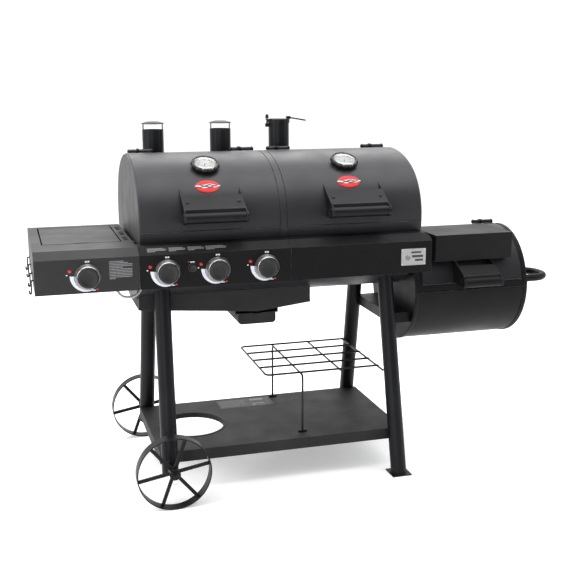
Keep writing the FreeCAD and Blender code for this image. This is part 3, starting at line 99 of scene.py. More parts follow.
class Finish:
    """A material built from a Principled shader and procedural patterns in the object's own space."""

    def __init__(self, name, **constants):
        self.material = bpy.data.materials.new(name)
        self.material.use_nodes = True
        self.tree = self.material.node_tree
        self.tree.nodes.clear()
        output = self.tree.nodes.new("ShaderNodeOutputMaterial")
        self.shader = self.tree.nodes.new("ShaderNodeBsdfPrincipled")
        self.tree.links.new(self.shader.outputs[0], output.inputs[0])
        for socket, value in constants.items():
            self.shader.inputs[socket.replace("_", " ")].default_value = value
        self.where = self.tree.nodes.new("ShaderNodeTexCoord").outputs["Object"]

    def add(self, kind, links=(), **values):
        node = self.tree.nodes.new(kind)
        for name, value in values.items():
            socket = name.replace("_", " ")
            if socket in node.inputs:
                node.inputs[socket].default_value = value
            else:
                setattr(node, name, value)
        for socket, source in links:
            self.tree.links.new(source, node.inputs[socket])
        return node

    def noise(self, scale, detail=3, stretch=(1, 1, 1)):
        """Cloudy pattern; scale counts its blobs a metre."""
        mapping = self.add("ShaderNodeMapping", [("Vector", self.where)], Scale=stretch)
        links = [("Vector", mapping.outputs[0])]
        return self.add("ShaderNodeTexNoise", links, Scale=scale, Detail=detail).outputs["Fac"]

    def between(self, factor, low, high, start=0.3, end=0.7):
        """Scale a pattern into a range of numbers."""
        links = [("Value", factor)]
        values = {"From_Min": start, "From_Max": end, "To_Min": low, "To_Max": high}
        return self.add("ShaderNodeMapRange", links, **values).outputs[0]

    def blend_colours(self, factor, first, second):
        """Mix two colours by a value."""
        ramp = self.add("ShaderNodeValToRGB", [("Fac", factor)])
        ramp.color_ramp.elements[0].color = (*first, 1)
        ramp.color_ramp.elements[1].color = (*second, 1)
        ramp.color_ramp.elements[0].position = 0.32
        ramp.color_ramp.elements[1].position = 0.68
        return ramp.outputs[0]

    def over(self, base, factor, colour):
        """Lay a colour over another where the factor is high."""
        mix = self.add("ShaderNodeMix", data_type="RGBA")
        self.tree.links.new(factor, mix.inputs["Factor"])
        self.tree.links.new(base, mix.inputs[6])
        mix.inputs[7].default_value = (*colour, 1)
        return mix.outputs[2]

    def edges(self, radius):
        """High along sharp edges, broken up by a pattern: the share of a pale edge line that is partly a
        painted highlight and partly wear.
        """
        rounded = self.add("ShaderNodeBevel", Radius=radius, samples=4)
        flat = self.add("ShaderNodeNewGeometry").outputs["Normal"]
        links = [(0, rounded.outputs[0]), (1, flat)]
        sameness = self.add("ShaderNodeVectorMath", links, operation="DOT_PRODUCT").outputs["Value"]
        # Share of the painted edge highlight and wear, where the rounded normal turns away from the flat one.
        edge_highlight_and_wear = self.between(sameness, 1, 0, 0.86, 0.995)
        patchy = self.between(self.noise(70, 4), 0, 1, 0.4, 0.62)
        factor = self.add("ShaderNodeMath", [(0, edge_highlight_and_wear), (1, patchy)], operation="MULTIPLY").outputs[0]
        return factor, rounded.outputs[0]

    def bump(self, height, distance, strength=1.0, normal=None):
        """Surface relief from a value."""
        links = [("Height", height)]
        if normal is not None:
            links.append(("Normal", normal))
        relief = self.add("ShaderNodeBump", links, Distance=distance, Strength=strength)
        self.set("Normal", relief.outputs[0])

    def set(self, socket, source):
        self.tree.links.new(source, self.shader.inputs[socket])


def coat(name, dark, pale, rough, grain=700, peel=0.00008, edge_highlight_and_wear=(0.09, 0.09, 0.095), specular=0.5):
    """Powder coat: faint mottling, orange peel, and a paler line along edges that is partly a painted
    highlight and partly wear.
    """
    look = Finish(name, Specular_IOR_Level=specular)
    edge, rounded = look.edges(0.0012)
    colour = look.blend_colours(look.noise(7, 5), dark, pale)
    # The paler colour along edges is partly a painted highlight and partly wear.
    look.set("Base Color", look.over(colour, edge, edge_highlight_and_wear))
    look.set("Roughness", look.between(look.noise(11, 5), rough - 0.05, rough + 0.07))
    look.bump(look.noise(grain, 2), peel, 0.5, rounded)
    return look.material


def metal(name, colour, rough, stretch=(1, 1, 1), scale=300, stain=(0.3, 0.28, 0.25)):
    """Bare metal with brush lines along its unstretched way and faint stains."""
    look = Finish(name, Metallic=1.0)
    paler = tuple(min(1, 1.15 * part) for part in colour)
    lines = look.noise(scale, 4, stretch)
    stained = look.between(look.noise(9, 4), 0, 0.5, 0.55, 0.8)
    look.set("Base Color", look.over(look.blend_colours(lines, colour, paler), stained, stain))
    look.set("Roughness", look.between(lines, rough - 0.04, rough + 0.08))
    look.bump(lines, 0.00004, 0.4)
    return look.material


def cast_iron():
    """Seasoned casting: pebbled skin, near-black with brown patches, and a paler line along edges that is
    partly a painted highlight and partly wear.
    """
    look = Finish("cast_iron", Metallic=0.3)
    edge, rounded = look.edges(0.001)
    colour = look.blend_colours(look.noise(35, 6), (0.018, 0.016, 0.015), (0.04, 0.033, 0.028))
    # The paler colour along edges is partly a painted highlight and partly wear.
    look.set("Base Color", look.over(colour, edge, (0.12, 0.11, 0.1)))
    look.set("Roughness", look.between(look.noise(90, 4), 0.5, 0.75))
    look.bump(look.noise(900, 3), 0.0003, 0.8, rounded)
    return look.material


def moulded(name, dark, pale, rough):
    """Moulded plastic with a fine spark-eroded texture."""
    look = Finish(name, Specular_IOR_Level=0.3)
    look.set("Base Color", look.blend_colours(look.noise(60, 4), dark, pale))
    look.set("Roughness", look.between(look.noise(120, 4), rough - 0.05, rough + 0.08))
    look.bump(look.noise(2500, 2), 0.00005, 0.5)
    return look.material


def printed(name, first, second, rough=0.45, specular=0.4):
    """Printed or enamelled colour with slight unevenness."""
    look = Finish(name, Specular_IOR_Level=specular)
    look.set("Base Color", look.blend_colours(look.noise(150, 3), first, second))
    look.set("Roughness", look.between(look.noise(300, 3), rough - 0.08, rough + 0.08))
    look.bump(look.noise(1500, 2), 0.00002, 0.4)
    return look.material


def braid():
    """Braided steel sleeve of the gas hose: two crossing sets of bands."""
    look = Finish("braided_sleeve", Metallic=0.4)
    bands = []
    for sideways in (1, -1):
        turned = look.add("ShaderNodeMapping", [("Vector", look.where)], Rotation=(0, 0.8 * sideways, 0))
        wave = look.add("ShaderNodeTexWave", [("Vector", turned.outputs[0])], Scale=260.0, Distortion=0.4)
        bands.append(wave.outputs["Fac"])
    weave = look.add("ShaderNodeMath", [(0, bands[0]), (1, bands[1])], operation="MULTIPLY").outputs[0]
    look.set("Base Color", look.blend_colours(weave, (0.2, 0.2, 0.21), (0.75, 0.76, 0.78)))
    look.set("Roughness", look.between(weave, 0.45, 0.25, 0, 1))
    look.bump(weave, 0.0003, 0.7)
    return look.material


def clear_glass():
    """Glass of the gauges."""
    look = Finish("gauge_glass", Transmission_Weight=1.0, IOR=1.45)
    look.set("Base Color", look.blend_colours(look.noise(20, 2), (0.93, 0.95, 0.95), (0.97, 0.98, 0.98)))
    look.set("Roughness", look.between(look.noise(40, 3), 0.0, 0.03))
    return look.material


LID_COAT = coat("lid_coat", (0.0098, 0.0098, 0.0124), (0.0145, 0.0145, 0.018), 0.42, specular=0.34)
# Much darker than the lid's coat, to take out light that bounces up from the floor onto the firebox: painted
# shade.
FIREBOX_SHADED_COAT = coat("firebox_coat_painted_shade", (0.0028, 0.0028, 0.003), (0.0052, 0.0052, 0.0055), 0.42, specular=0.12)
CAP_COAT = coat("end_cap_coat", (0.016, 0.016, 0.017), (0.024, 0.024, 0.025), 0.5, specular=0.5)
PANEL_COAT = coat("panel_coat", (0.0035, 0.0033, 0.0033), (0.0058, 0.0055, 0.0055), 0.47, specular=0.1)
TABLE_COAT = coat("table_coat", (0.0075, 0.0073, 0.0073), (0.011, 0.0108, 0.0108), 0.47, specular=0.3)
SHELF_COAT = coat("shelf_coat", (0.007, 0.007, 0.0073), (0.012, 0.012, 0.0124), 0.6, grain=1400, peel=0.0002,
                  specular=0.25)
STAND_COAT = coat("stand_coat", (0.003, 0.0032, 0.0042), (0.0058, 0.0061, 0.0075), 0.38, specular=0.16)
WIRE_COAT = coat("wire_coat", (0.004, 0.004, 0.0044), (0.007, 0.007, 0.0074), 0.34, specular=0.25)
HOOD_COAT = coat("hood_coat", (0.003, 0.003, 0.003), (0.005, 0.005, 0.005), 0.5, specular=0.16)
FIREBOX_LID_COAT = coat("firebox_lid_coat", (0.0065, 0.0065, 0.0082), (0.0098, 0.0098, 0.012), 0.42,
                        specular=0.25)
INSIDE_COAT = coat("chamber_coat", (0.005, 0.0047, 0.0044), (0.014, 0.013, 0.0115), 0.65, peel=0.0003,
                   specular=0.2)
CHROME = metal("bezel_chrome", (0.42, 0.42, 0.42), 0.3, scale=60, stain=(0.4, 0.4, 0.4))
STEEL = metal("bare_steel", (0.36, 0.36, 0.37), 0.34, stretch=(0.05, 1, 1))
ZINC = metal("zinc_fasteners", (0.5, 0.5, 0.5), 0.3, scale=400)
PLATE_SILVER = metal("plate_silver", (0.34, 0.34, 0.34), 0.45, stretch=(0.08, 1, 1), stain=(0.42, 0.42, 0.42))
IRON = cast_iron()
KNOB_PLASTIC = moulded("knob_plastic", (0.006, 0.0059, 0.0057), (0.011, 0.0107, 0.0104), 0.42)
GAUGE_PLASTIC = moulded("gauge_case_plastic", (0.003, 0.003, 0.003), (0.006, 0.006, 0.006), 0.38)
DIAL_WHITE = printed("dial_white", (0.5, 0.51, 0.5), (0.58, 0.58, 0.57))
DIAL_GREY = printed("dial_grey", (0.2, 0.205, 0.2), (0.26, 0.26, 0.255))
MARK_WHITE = printed("mark_white", (0.5, 0.52, 0.57), (0.6, 0.62, 0.67))
MARK_GREY = printed("mark_grey", (0.12, 0.12, 0.128), (0.18, 0.18, 0.19))
MARK_RED = printed("mark_red", (0.42, 0.008, 0.006), (0.55, 0.018, 0.01))
MARK_BLACK = printed("mark_black", (0.01, 0.01, 0.01), (0.02, 0.02, 0.02))
ENAMEL_RED = printed("enamel_red", (0.42, 0.014, 0.015), (0.52, 0.025, 0.024), 0.35, specular=0.2)
# Matte black without gloss, for painted shade in the gap round the side burner's lid and in its finger notch.
GROOVE_SHADE = printed("groove_painted_shade", (0.001, 0.001, 0.001), (0.002, 0.002, 0.002), 0.9, specular=0.0)
STICKER = printed("sticker_grey", (0.018, 0.018, 0.019), (0.026, 0.026, 0.027), 0.5)
BRAID = braid()
GLASS = clear_glass()

NODE_FINISHES = (
    (LID_COAT, ("gas_lid", "charcoal_lid", "barrel_shell", "chamber_divider")),
    (CAP_COAT, ("left_end_cap", "right_end_cap")),
    (PANEL_COAT, ("control_panel", "front_shelf")),
    (TABLE_COAT, ("side_table", "side_burner_lid")),
    (HOOD_COAT, ("firebox_lid_shelf",)),
    (FIREBOX_LID_COAT, ("firebox_lid",)),
    (FIREBOX_SHADED_COAT, ("firebox_lid_handle", "firebox_lower_shell", "firebox_upper_shell", "firebox_left_end",
                    "firebox_right_end", "firebox_bracket", "ash_drawer", "air_damper")),
    (SHELF_COAT, ("bottom_shelf", "grease_pan", "grease_cup")),
    (STAND_COAT, ("gas_lid_handle", "charcoal_lid_handle", "lid_hinge_pins", "front_left_leg",
                  "front_right_leg", "rear_left_leg", "rear_right_leg", "front_wheel", "rear_wheel", "axle",
                  "gas_stacks", "rain_caps", "charcoal_stack", "stack_damper")),
    (WIRE_COAT, ("wire_rack", "tool_hooks")),
    (IRON, ("gas_cooking_grate", "charcoal_cooking_grate", "side_burner_grate", "fire_grate", "side_burner")),
    (INSIDE_COAT, ("heat_tents", "coal_tray", "side_burner_tray", "gas_manifold")),
    (STEEL, ("burner_tubes", "warming_racks")),
    (BRAID, ("gas_hose",)),
    (CHROME, ("knob_bezels",)),
    (KNOB_PLASTIC, (*KNOBS, "igniter_button")),
    (GAUGE_PLASTIC, ("gas_gauge", "charcoal_gauge")),
)


def dress_nodes():
    """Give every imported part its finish."""
    for material, names in NODE_FINISHES:
        for name in names:
            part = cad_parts[name]
            if not part.material_slots:
                part.data.materials.append(material)
            for slot in part.material_slots:
                slot.material = material


# ------------------------------------------------------------------ mesh helpers

def finish_piece(name, mesh_data, material, body, sharp=35):
    """Turn mesh data into a piece that rides on a body."""
    bmesh.ops.recalc_face_normals(mesh_data, faces=mesh_data.faces)
    for edge in mesh_data.edges:
        edge.smooth = edge.calc_face_angle(0) < math.radians(sharp)
    for face in mesh_data.faces:
        face.smooth = True
    mesh = bpy.data.meshes.new(name)
    mesh_data.to_mesh(mesh)
    mesh_data.free()
    mesh.materials.append(material)
    piece = bpy.data.objects.new(name, mesh)
    bpy.context.scene.collection.objects.link(piece)
    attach(piece, body)
    return piece


def lathe_into(mesh_data, profile, place, steps=48, closed=False, ripple=None):
    """Turn a (radius, height) profile about the local Z axis."""
    rings = []
    for radius, height in profile:
        if radius == 0:
            rings.append([mesh_data.verts.new(place @ Vector((0, 0, height)))])
            continue
        ring = []
        for k in range(steps):
            turn = TURN * k / steps
            reach = ripple(radius, turn) if ripple else radius
            point = Vector((reach * math.cos(turn), reach * math.sin(turn), height))
            ring.append(mesh_data.verts.new(place @ point))
        rings.append(ring)
    pairs = list(zip(rings, rings[1:]))
    if closed:
        pairs.append((rings[-1], rings[0]))
    for low, high in pairs:
        for k in range(steps):
            corners = [low[k % len(low)], low[(k + 1) % len(low)],
                       high[(k + 1) % len(high)], high[k % len(high)]]
            mesh_data.faces.new(list(dict.fromkeys(corners)))


def lathe(name, profile, places, material, body, slot, **shape):
    """The same turned shape at several places, in one piece."""
    mesh_data = bmesh.new()
    for place in places:
        lathe_into(mesh_data, profile, place, **shape)
    return finish_piece(name, mesh_data, material, body)


def slab_into(mesh_data, outline, low, high, place, rounding=0.0):
    """A plate with a local XY outline between two local heights."""
    base = [mesh_data.verts.new((x, y, low)) for x, y in outline]
    made = bmesh.ops.extrude_face_region(mesh_data, geom=[mesh_data.faces.new(base)])
    top = [item for item in made["geom"] if isinstance(item, bmesh.types.BMVert)]
    bmesh.ops.translate(mesh_data, verts=top, vec=(0, 0, high - low))
    verts = base + top
    if rounding:
        edges = {edge for vert in top for edge in vert.link_edges}
        made = bmesh.ops.bevel(mesh_data, geom=list(edges), offset=rounding, segments=3, affect="EDGES")
        verts = list({vert for vert in base + made["verts"] if vert.is_valid})
    bmesh.ops.transform(mesh_data, matrix=place, verts=verts)


def slabs(name, outlines, thickness, place, material, body, lift=0.0, rounding=0.0):
    """Several plates of one thickness in one piece."""
    mesh_data = bmesh.new()
    for outline in outlines:
        slab_into(mesh_data, outline, lift, lift + thickness, place, rounding)
    return finish_piece(name, mesh_data, material, body)


def bar(x_low, y_low, x_high, y_high):
    """Outline of a rectangle."""
    return [(x_low, y_low), (x_high, y_low), (x_high, y_high), (x_low, y_high)]


def polar(radius, degrees, centre=(0, 0)):
    """A point on a circle."""
    turn = math.radians(degrees)
    return centre[0] + radius * math.cos(turn), centre[1] + radius * math.sin(turn)


def radial_bar(inner, outer, width, degrees):
    """A small bar that points at the local origin."""
    corners = bar(inner, -width / 2, outer, width / 2)
    return [polar(math.hypot(x, y), degrees + math.degrees(math.atan2(y, x))) for x, y in corners]


def frame_at(origin, outward, up):
    """Matrix whose local Z points outward and local Y upward."""
    outward = Vector(outward).normalized()
    across = Vector(up).cross(outward).normalized()
    upward = outward.cross(across)
    matrix = Matrix((across, upward, outward)).transposed().to_4x4()
    matrix.translation = origin
    return matrix


def middle(node):
    """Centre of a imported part's box."""
    low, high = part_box(node)
    return (low + high) / 2


def on_face(x, z):
    """Frame on the upright front face."""
    return frame_at((x, FACE_Y, z), FRONT, UP)


def at_node(node):
    """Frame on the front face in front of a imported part."""
    centre = middle(node)
    return on_face(centre.x, centre.z)


# ------------------------------------------------------------------ gauges and emblems on the lids

def gauge_frame(x):
    """Seat of a gauge on the lid's crown, with its dial's top towards the back."""
    up_z = math.sqrt(CROWN_RADIUS ** 2 - GAUGE_Y ** 2)
    outward = Vector((0, GAUGE_Y, up_z)) / CROWN_RADIUS
    origin = Vector((x, GAUGE_Y, CROWN_Z + up_z))
    return frame_at(origin, outward, (0, 1, 0.5))


def notched(radius, turn):
    """Bezel edge with a dozen finger notches."""
    if radius < 0.044:
        return radius
    return radius - 0.0034 * max(0, math.cos(12 * turn)) ** 2


def make_gauge(label):
    """Notched case, dial with its scale, needle, domed glass and two screws."""
    body = f"{label}_lid"
    place = gauge_frame(middle(f"{label}_gauge").x)
    case = lathe(f"{label}_gauge_case", [
        (0, -0.07), (0.0036, -0.07), (0.0043, -0.068), (0.0043, 0.0003), (0.018, 0.0003), (0.018, 0.004),
        (0.042, 0.004), (0.0468, 0.0058), (0.0485, 0.0085), (0.0485, 0.013), (0.0468, 0.0166),
        (0.0436, 0.0182), (0.0398, 0.0180), (0.0378, 0.0166), (0.0370, 0.0132), (0, 0.0131),
    ], [place], GAUGE_PLASTIC, body, "gauge_case", steps=144, ripple=notched)
    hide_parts(f"{label}_gauge")
    lathe(f"{label}_gauge_dial", [(0.0368, 0.0132), (0.0366, 0.0138), (0.02, 0.0140), (0, 0.01405)],
          [place], DIAL_WHITE, body, "gauge_face", steps=72)
    ring = [(0.0326, 0.0137), (0.0371, 0.0137), (0.0371, 0.0152), (0.0362, 0.0150), (0.0328, 0.01405)]
    lathe(f"{label}_gauge_ring", ring, [place], DIAL_GREY, body, "gauge_face", steps=72, closed=True)
    make_scale(label, place, body)
    needle = [polar(0.030, 250), polar(0.0022, 340), polar(0.0075, 70), polar(0.0022, 160)]
    slabs(f"{label}_gauge_needle", [needle], 0.0004, place, MARK_BLACK, body, lift=NEEDLE_LEVEL)
    hub = [(0, 0.0139), (0.003, 0.0139), (0.003, 0.0152), (0.0018, 0.0158), (0, 0.0159)]
    lathe(f"{label}_gauge_hub", hub, [place], ZINC, body, "bezel_chrome", steps=24)
    lathe(f"{label}_gauge_glass", [
        (0, 0.0172), (0.02, 0.0168), (0.0376, 0.0158), (0.0378, 0.0164), (0.03, 0.0180), (0.015, 0.0187),
        (0, 0.0189),
    ], [place], GLASS, body, "gauge_glass", steps=72)
    heads = [place @ Matrix.Translation((*polar(0.0437, degrees), 0.0176)) for degrees in (249, 291)]
    lathe(f"{label}_gauge_screws", [(0, 0), (0.0024, 0), (0.0024, 0.0008), (0.0016, 0.0016), (0, 0.0018)],
          heads, ZINC, body, "bezel_chrome", steps=20)


def make_scale(label, place, body):
    """Ticks, the hot zone and the numbers of a dial."""
    steps = 27
    ticks = []
    for k in range(steps + 1):
        long_tick = k % 3 == 0
        inner = 0.0255 if long_tick else 0.0285
        width = 0.0011 if long_tick else 0.0006
        ticks.append(radial_bar(inner, 0.0318, width, DIAL_START - DIAL_SWEEP * k / steps))
    slabs(f"{label}_gauge_ticks", ticks, THIN_PRINT, place, MARK_BLACK, body, lift=DIAL_LEVEL)
    turns = range(100, 9, -5)
    zone = [polar(0.0265, turn) for turn in turns] + [polar(0.0243, turn) for turn in reversed(turns)]
    slabs(f"{label}_gauge_zone", [zone], THIN_PRINT, place, MARK_RED, body, lift=DIAL_LEVEL)
    numbers = 7
    for k in range(numbers):
        degrees = DIAL_START - DIAL_SWEEP * k / (numbers - 1)
        make_numeral(f"{label}_gauge_number_{k}", str(100 * (k + 1)), place, degrees, body)


def make_numeral(name, text, place, degrees, body):
    """One number of the dial scale."""
    curve = bpy.data.curves.new(name, "FONT")
    curve.body = text
    curve.size = 0.0052
    curve.extrude = 0.0001
    curve.align_x = "CENTER"
    curve.align_y = "CENTER"
    curve.materials.append(MARK_BLACK)
    number = bpy.data.objects.new(name, curve)
    bpy.context.scene.collection.objects.link(number)
    number.matrix_world = place @ Matrix.Translation((*polar(0.0205, degrees), 0.0142))
    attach(number, body)


def lid_point(x, rise, lift):
    """A point over the lid's front shoulder; rise is measured along the sheet from the split line."""
    turn = rise / SHOULDER_RADIUS
    reach = SHOULDER_RADIUS + lift
    return Vector((x, SHOULDER_Y - reach * math.cos(turn), SHOULDER_Z + reach * math.sin(turn)))


def lid_patch(name, x, rim, low, high, material, body):
    """A plate that follows the lid, from rings of (across, along) points that shrink to the middle."""
    mesh_data = bmesh.new()
    steps = len(rim)
    rings = [[lid_point(x + a, EMBLEM_RISE + b, low) for a, b in rim]]
    for share in (1.0, 0.97, 0.7, 0.35):
        lift = high if share < 1 else high - 0.0003
        rings.append([lid_point(x + share * a, EMBLEM_RISE + share * b, lift) for a, b in rim])
    loops = [[mesh_data.verts.new(point) for point in ring] for ring in rings]
    for outer, inner in zip(loops, loops[1:]):
        for k in range(steps):
            mesh_data.faces.new([outer[k], outer[(k + 1) % steps], inner[(k + 1) % steps], inner[k]])
    mesh_data.faces.new(loops[-1])
    mesh_data.faces.new(loops[0][::-1])
    return finish_piece(name, mesh_data, material, body)


def oval_rim(half_wide, half_high):
    """Points round an oval."""
    steps = 72
    return [(half_wide * math.cos(TURN * k / steps), half_high * math.sin(TURN * k / steps))
            for k in range(steps)]


def wave_band(half_wide, height, width, wobble):
    """Outline of a tapering wavy stroke across the emblem."""
    count = 40
    upper = []
    lower = []
    for k in range(count + 1):
        a = -half_wide + 2 * half_wide * k / count
        middle = height + wobble * math.sin(4.2 * math.pi * k / count)
        thick = width * (1 - (a / half_wide) ** 2) / 2 + 0.0003
        upper.append((a, middle + thick))
        lower.append((a, middle - thick))
    return upper + lower[::-1]


def lid_stroke(name, x, outline, low, high, material, body):
    """A raised stroke on the emblem, from an outline whose upper and lower halves pair up."""
    mesh_data = bmesh.new()
    half = len(outline) // 2
    upper, lower = outline[:half], outline[half:][::-1]
    rows = []
    for lift in (low, high):
        for side in (upper, lower):
            rows.append([mesh_data.verts.new(lid_point(x + a, EMBLEM_RISE + b, lift)) for a, b in side])
    bottom_up, bottom_low, top_up, top_low = rows
    for k in range(half - 1):
        mesh_data.faces.new([top_up[k], top_up[k + 1], top_low[k + 1], top_low[k]])
        mesh_data.faces.new([bottom_up[k], bottom_low[k], bottom_low[k + 1], bottom_up[k + 1]])
        mesh_data.faces.new([bottom_up[k], bottom_up[k + 1], top_up[k + 1], top_up[k]])
        mesh_data.faces.new([bottom_low[k], top_low[k], top_low[k + 1], bottom_low[k + 1]])
    for k in (0, half - 1):
        mesh_data.faces.new([bottom_up[k], top_up[k], top_low[k], bottom_low[k]])
    return finish_piece(name, mesh_data, material, body)


def make_emblem(label):
    """A plain oval plate with two waves, below the gauge."""
    body = f"{label}_lid"
    x = middle(f"{label}_gauge").x + EMBLEM_SHIFT
    seat = 0.0002
    rim = oval_rim(0.0395, 0.0235)
    lid_patch(f"{label}_emblem_plate", x, rim, seat, 0.0018, ENAMEL_RED, body)
    band = wave_band(0.043, 0.0005, 0.0125, 0.0016)
    lid_stroke(f"{label}_emblem_band", x, band, seat, 0.0024, MARK_WHITE, body)
    for k, (height, width, wobble) in enumerate(((0.0022, 0.0042, 0.0022), (-0.0026, 0.0032, -0.0016))):
        stroke = wave_band(0.036, height, width, wobble)
        lid_stroke(f"{label}_emblem_wave_{k}", x, stroke, 0.002, 0.0029, MARK_BLACK, body)


# ------------------------------------------------------------------ handles

def domed_head(radius, height):
    """Profile of a bolt or rivet head."""
    return [(0, 0), (radius, 0), (radius, 0.35 * height), (0.8 * radius, 0.8 * height),
            (0.4 * radius, height), (0, height)]


def handle_trim(body, handle):
    """Bolts on the shield plate and plugs in the grip tube."""
    node = f"{body}_handle"
    low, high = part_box(node)
    from_end = 0.021
    bolts = [frame_at((x, *handle.bolt), (0, *handle.normal), (0, 1, 1))
             for x in (low.x + from_end, high.x - from_end)]
    lathe(f"{node}_bolts", domed_head(0.0062, 0.0034), bolts, STAND_COAT, body, "stand_paint", steps=28)
    ends = [frame_at((low.x, *handle.grip), LEFT, UP), frame_at((high.x, *handle.grip), RIGHT, UP)]
    lathe(f"{node}_plugs", [
        (0, -0.001), (GRIP_RADIUS, -0.001), (GRIP_RADIUS + 0.0004, 0.0003), (GRIP_RADIUS - 0.0012, 0.0016),
        (0.0125, 0.002), (0.0115, 0.0011), (0, 0.0011),
    ], ends, STAND_COAT, body, "stand_paint")


def strip_into(mesh_data, profile, x_low, x_high):
    """A bar along X with a closed (y, z) profile."""
    ends = [[mesh_data.verts.new((x, y, z)) for y, z in profile] for x in (x_low, x_high)]
    count = len(profile)
    for k in range(count):
        following = (k + 1) % count
        mesh_data.faces.new([ends[0][k], ends[0][following], ends[1][following], ends[1][k]])
    mesh_data.faces.new(ends[0])
    mesh_data.faces.new(ends[1][::-1])


def make_lip(body, handle):
    """Turned-down edge that closes the slot between a handle's shield and its grip."""
    shape = [(0.0020, 0.0016), (-0.0013, -0.0006), (-0.0046, -0.0112), (-0.0026, -0.0118), (0.0006, -0.0022),
             (0.0028, -0.0004)]
    low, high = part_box(f"{body}_handle")
    from_end = 0.0035
    edge_y, edge_z = handle.edge
    profile = [(edge_y + y, edge_z + handle.lip_share * z) for y, z in shape]
    mesh_data = bmesh.new()
    strip_into(mesh_data, profile, low.x + from_end, high.x - from_end)
    finish_piece(f"{body}_handle_lip", mesh_data, STAND_COAT, body)


# ------------------------------------------------------------------ knobs, bezels and printed marks

def fluted(radius, turn):
    """Knob skirt with fine grooves."""
    if radius < 0.0306:
        return radius
    return radius - 0.0005 * max(0, math.cos(36 * turn)) ** 2


def make_knobs():
    """Domed knobs with a pointer dot, and the flared rings behind them."""
    places = [at_node(name) for name in KNOBS]
    for name, place in zip(KNOBS, places):
        knob = lathe(f"{name}_cap", [
            (0, -0.044), (0.004, -0.044), (0.004, 0.0045), (0.012, 0.0045), (0.012, 0.0085), (0.0318, 0.0085),
            (0.0326, 0.0105), (0.0326, 0.0130), (0.0324, 0.0215), (0.0314, 0.0246), (0.0294, 0.0264),
            (0.0268, 0.0270), (0.0249, 0.0262), (0.0235, 0.0253), (0.01, 0.0250), (0, 0.0250),
        ], [place], KNOB_PLASTIC, name, "knob_black", steps=144, ripple=fluted)
        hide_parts(name)
        dot = place @ Matrix.Translation((0, 0.0195, 0.0248))
        button = [(0, 0), (0.0032, 0), (0.003, 0.0006), (0, 0.0007)]
        lathe(f"{name}_dot", button, [dot], MARK_BLACK, name, "knob_black", steps=24)
    bezels = lathe("chrome_bezels", [
        (0.0334, 0.0), (0.0405, 0.0), (0.0409, 0.0012), (0.0408, 0.0028), (0.0400, 0.0050), (0.0378, 0.0110),
        (0.0352, 0.0190), (0.0342, 0.0218), (0.0334, 0.0224), (0.0330, 0.0216),
    ], places, CHROME, ROOT, "bezel_chrome", steps=96, closed=True)
    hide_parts("knob_bezels")


def crescent():
    """Printed crescent round the left and bottom of a bezel, widest at the left."""
    outer = []
    inner = []
    count = 36
    for k in range(count + 1):
        share = k / count
        degrees = 176 + 118 * share
        width = 0.0115 * (1 - share) ** 0.8 + 0.0012
        inner.append(polar(BEZEL_EDGE, degrees))
        outer.append(polar(BEZEL_EDGE + width, degrees))
    return outer + inner[::-1]


def flame(across, up, size):
    """A small plain flame with two tongues."""
    points = [(-0.5, -0.45), (0.1, -0.6), (0.5, -0.3), (0.62, 0.1), (0.35, 0.02), (0.3, 0.4), (0.05, 0.15),
              (-0.2, 0.62), (-0.35, 0.2), (-0.62, 0.3)]
    return [(across + size * a, up + size * b) for a, b in points]


def make_marks():
    """Setting marks printed round each knob, with plain bars in place of words."""
    words = [bar(-0.0065, 0.0445, -0.001, 0.0495), bar(0.001, 0.0445, 0.0065, 0.0495),
             bar(-0.0655, 0.006, -0.061, 0.0095), bar(0.0125, -0.0445, 0.0225, -0.0418)]
    for name in KNOBS:
        place = at_node(name)
        slabs(f"{name}_marks_white", [crescent()] + words, PRINT, place, MARK_WHITE, ROOT)
        flames = [flame(-0.054, 0.0195, 0.0095), flame(0.028, -0.0405, 0.0055)]
        slabs(f"{name}_marks_red", flames, PRINT, place, MARK_RED, ROOT)
    igniter = at_node("igniter_button")
    words = [bar(-0.008, 0.0165, 0.0065, 0.0195), bar(-0.001, 0.0125, 0.0055, 0.0148)]
    slabs("igniter_marks_white", words, PRINT, igniter, MARK_WHITE, ROOT)
    spark = flame(-0.0125, 0.0185, 0.0032)
    slabs("igniter_marks_red", [spark], PRINT, igniter, MARK_RED, ROOT)


def make_igniter():
    """Push button with a raised rim, in its collar."""
    place = at_node("igniter_button")
    button = lathe("igniter_cap", [
        (0, -0.026), (0.008, -0.026), (0.008, 0.003), (0.0104, 0.003), (0.011, 0.0042), (0.011, 0.0098),
        (0.0102, 0.0116), (0.0088, 0.012), (0.0076, 0.0112), (0, 0.0106),
    ], [place], KNOB_PLASTIC, "igniter_button", "knob_black", steps=48)
    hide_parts("igniter_button")
    lathe("igniter_collar", [
        (0.0118, 0), (0.0155, 0), (0.0155, 0.0012), (0.0142, 0.0026), (0.0124, 0.003), (0.0118, 0.0024),
    ], [place], GAUGE_PLASTIC, ROOT, "knob_black", steps=48, closed=True)


def text_block(left, top, widths, pitch, thick):
    """Thin bars that stand in for the lines of a printed notice."""
    bars = []
    for k, width in enumerate(widths):
        line_top = top - k * pitch
        bars.append(bar(left, line_top - thick, left + width, line_top))
    return bars


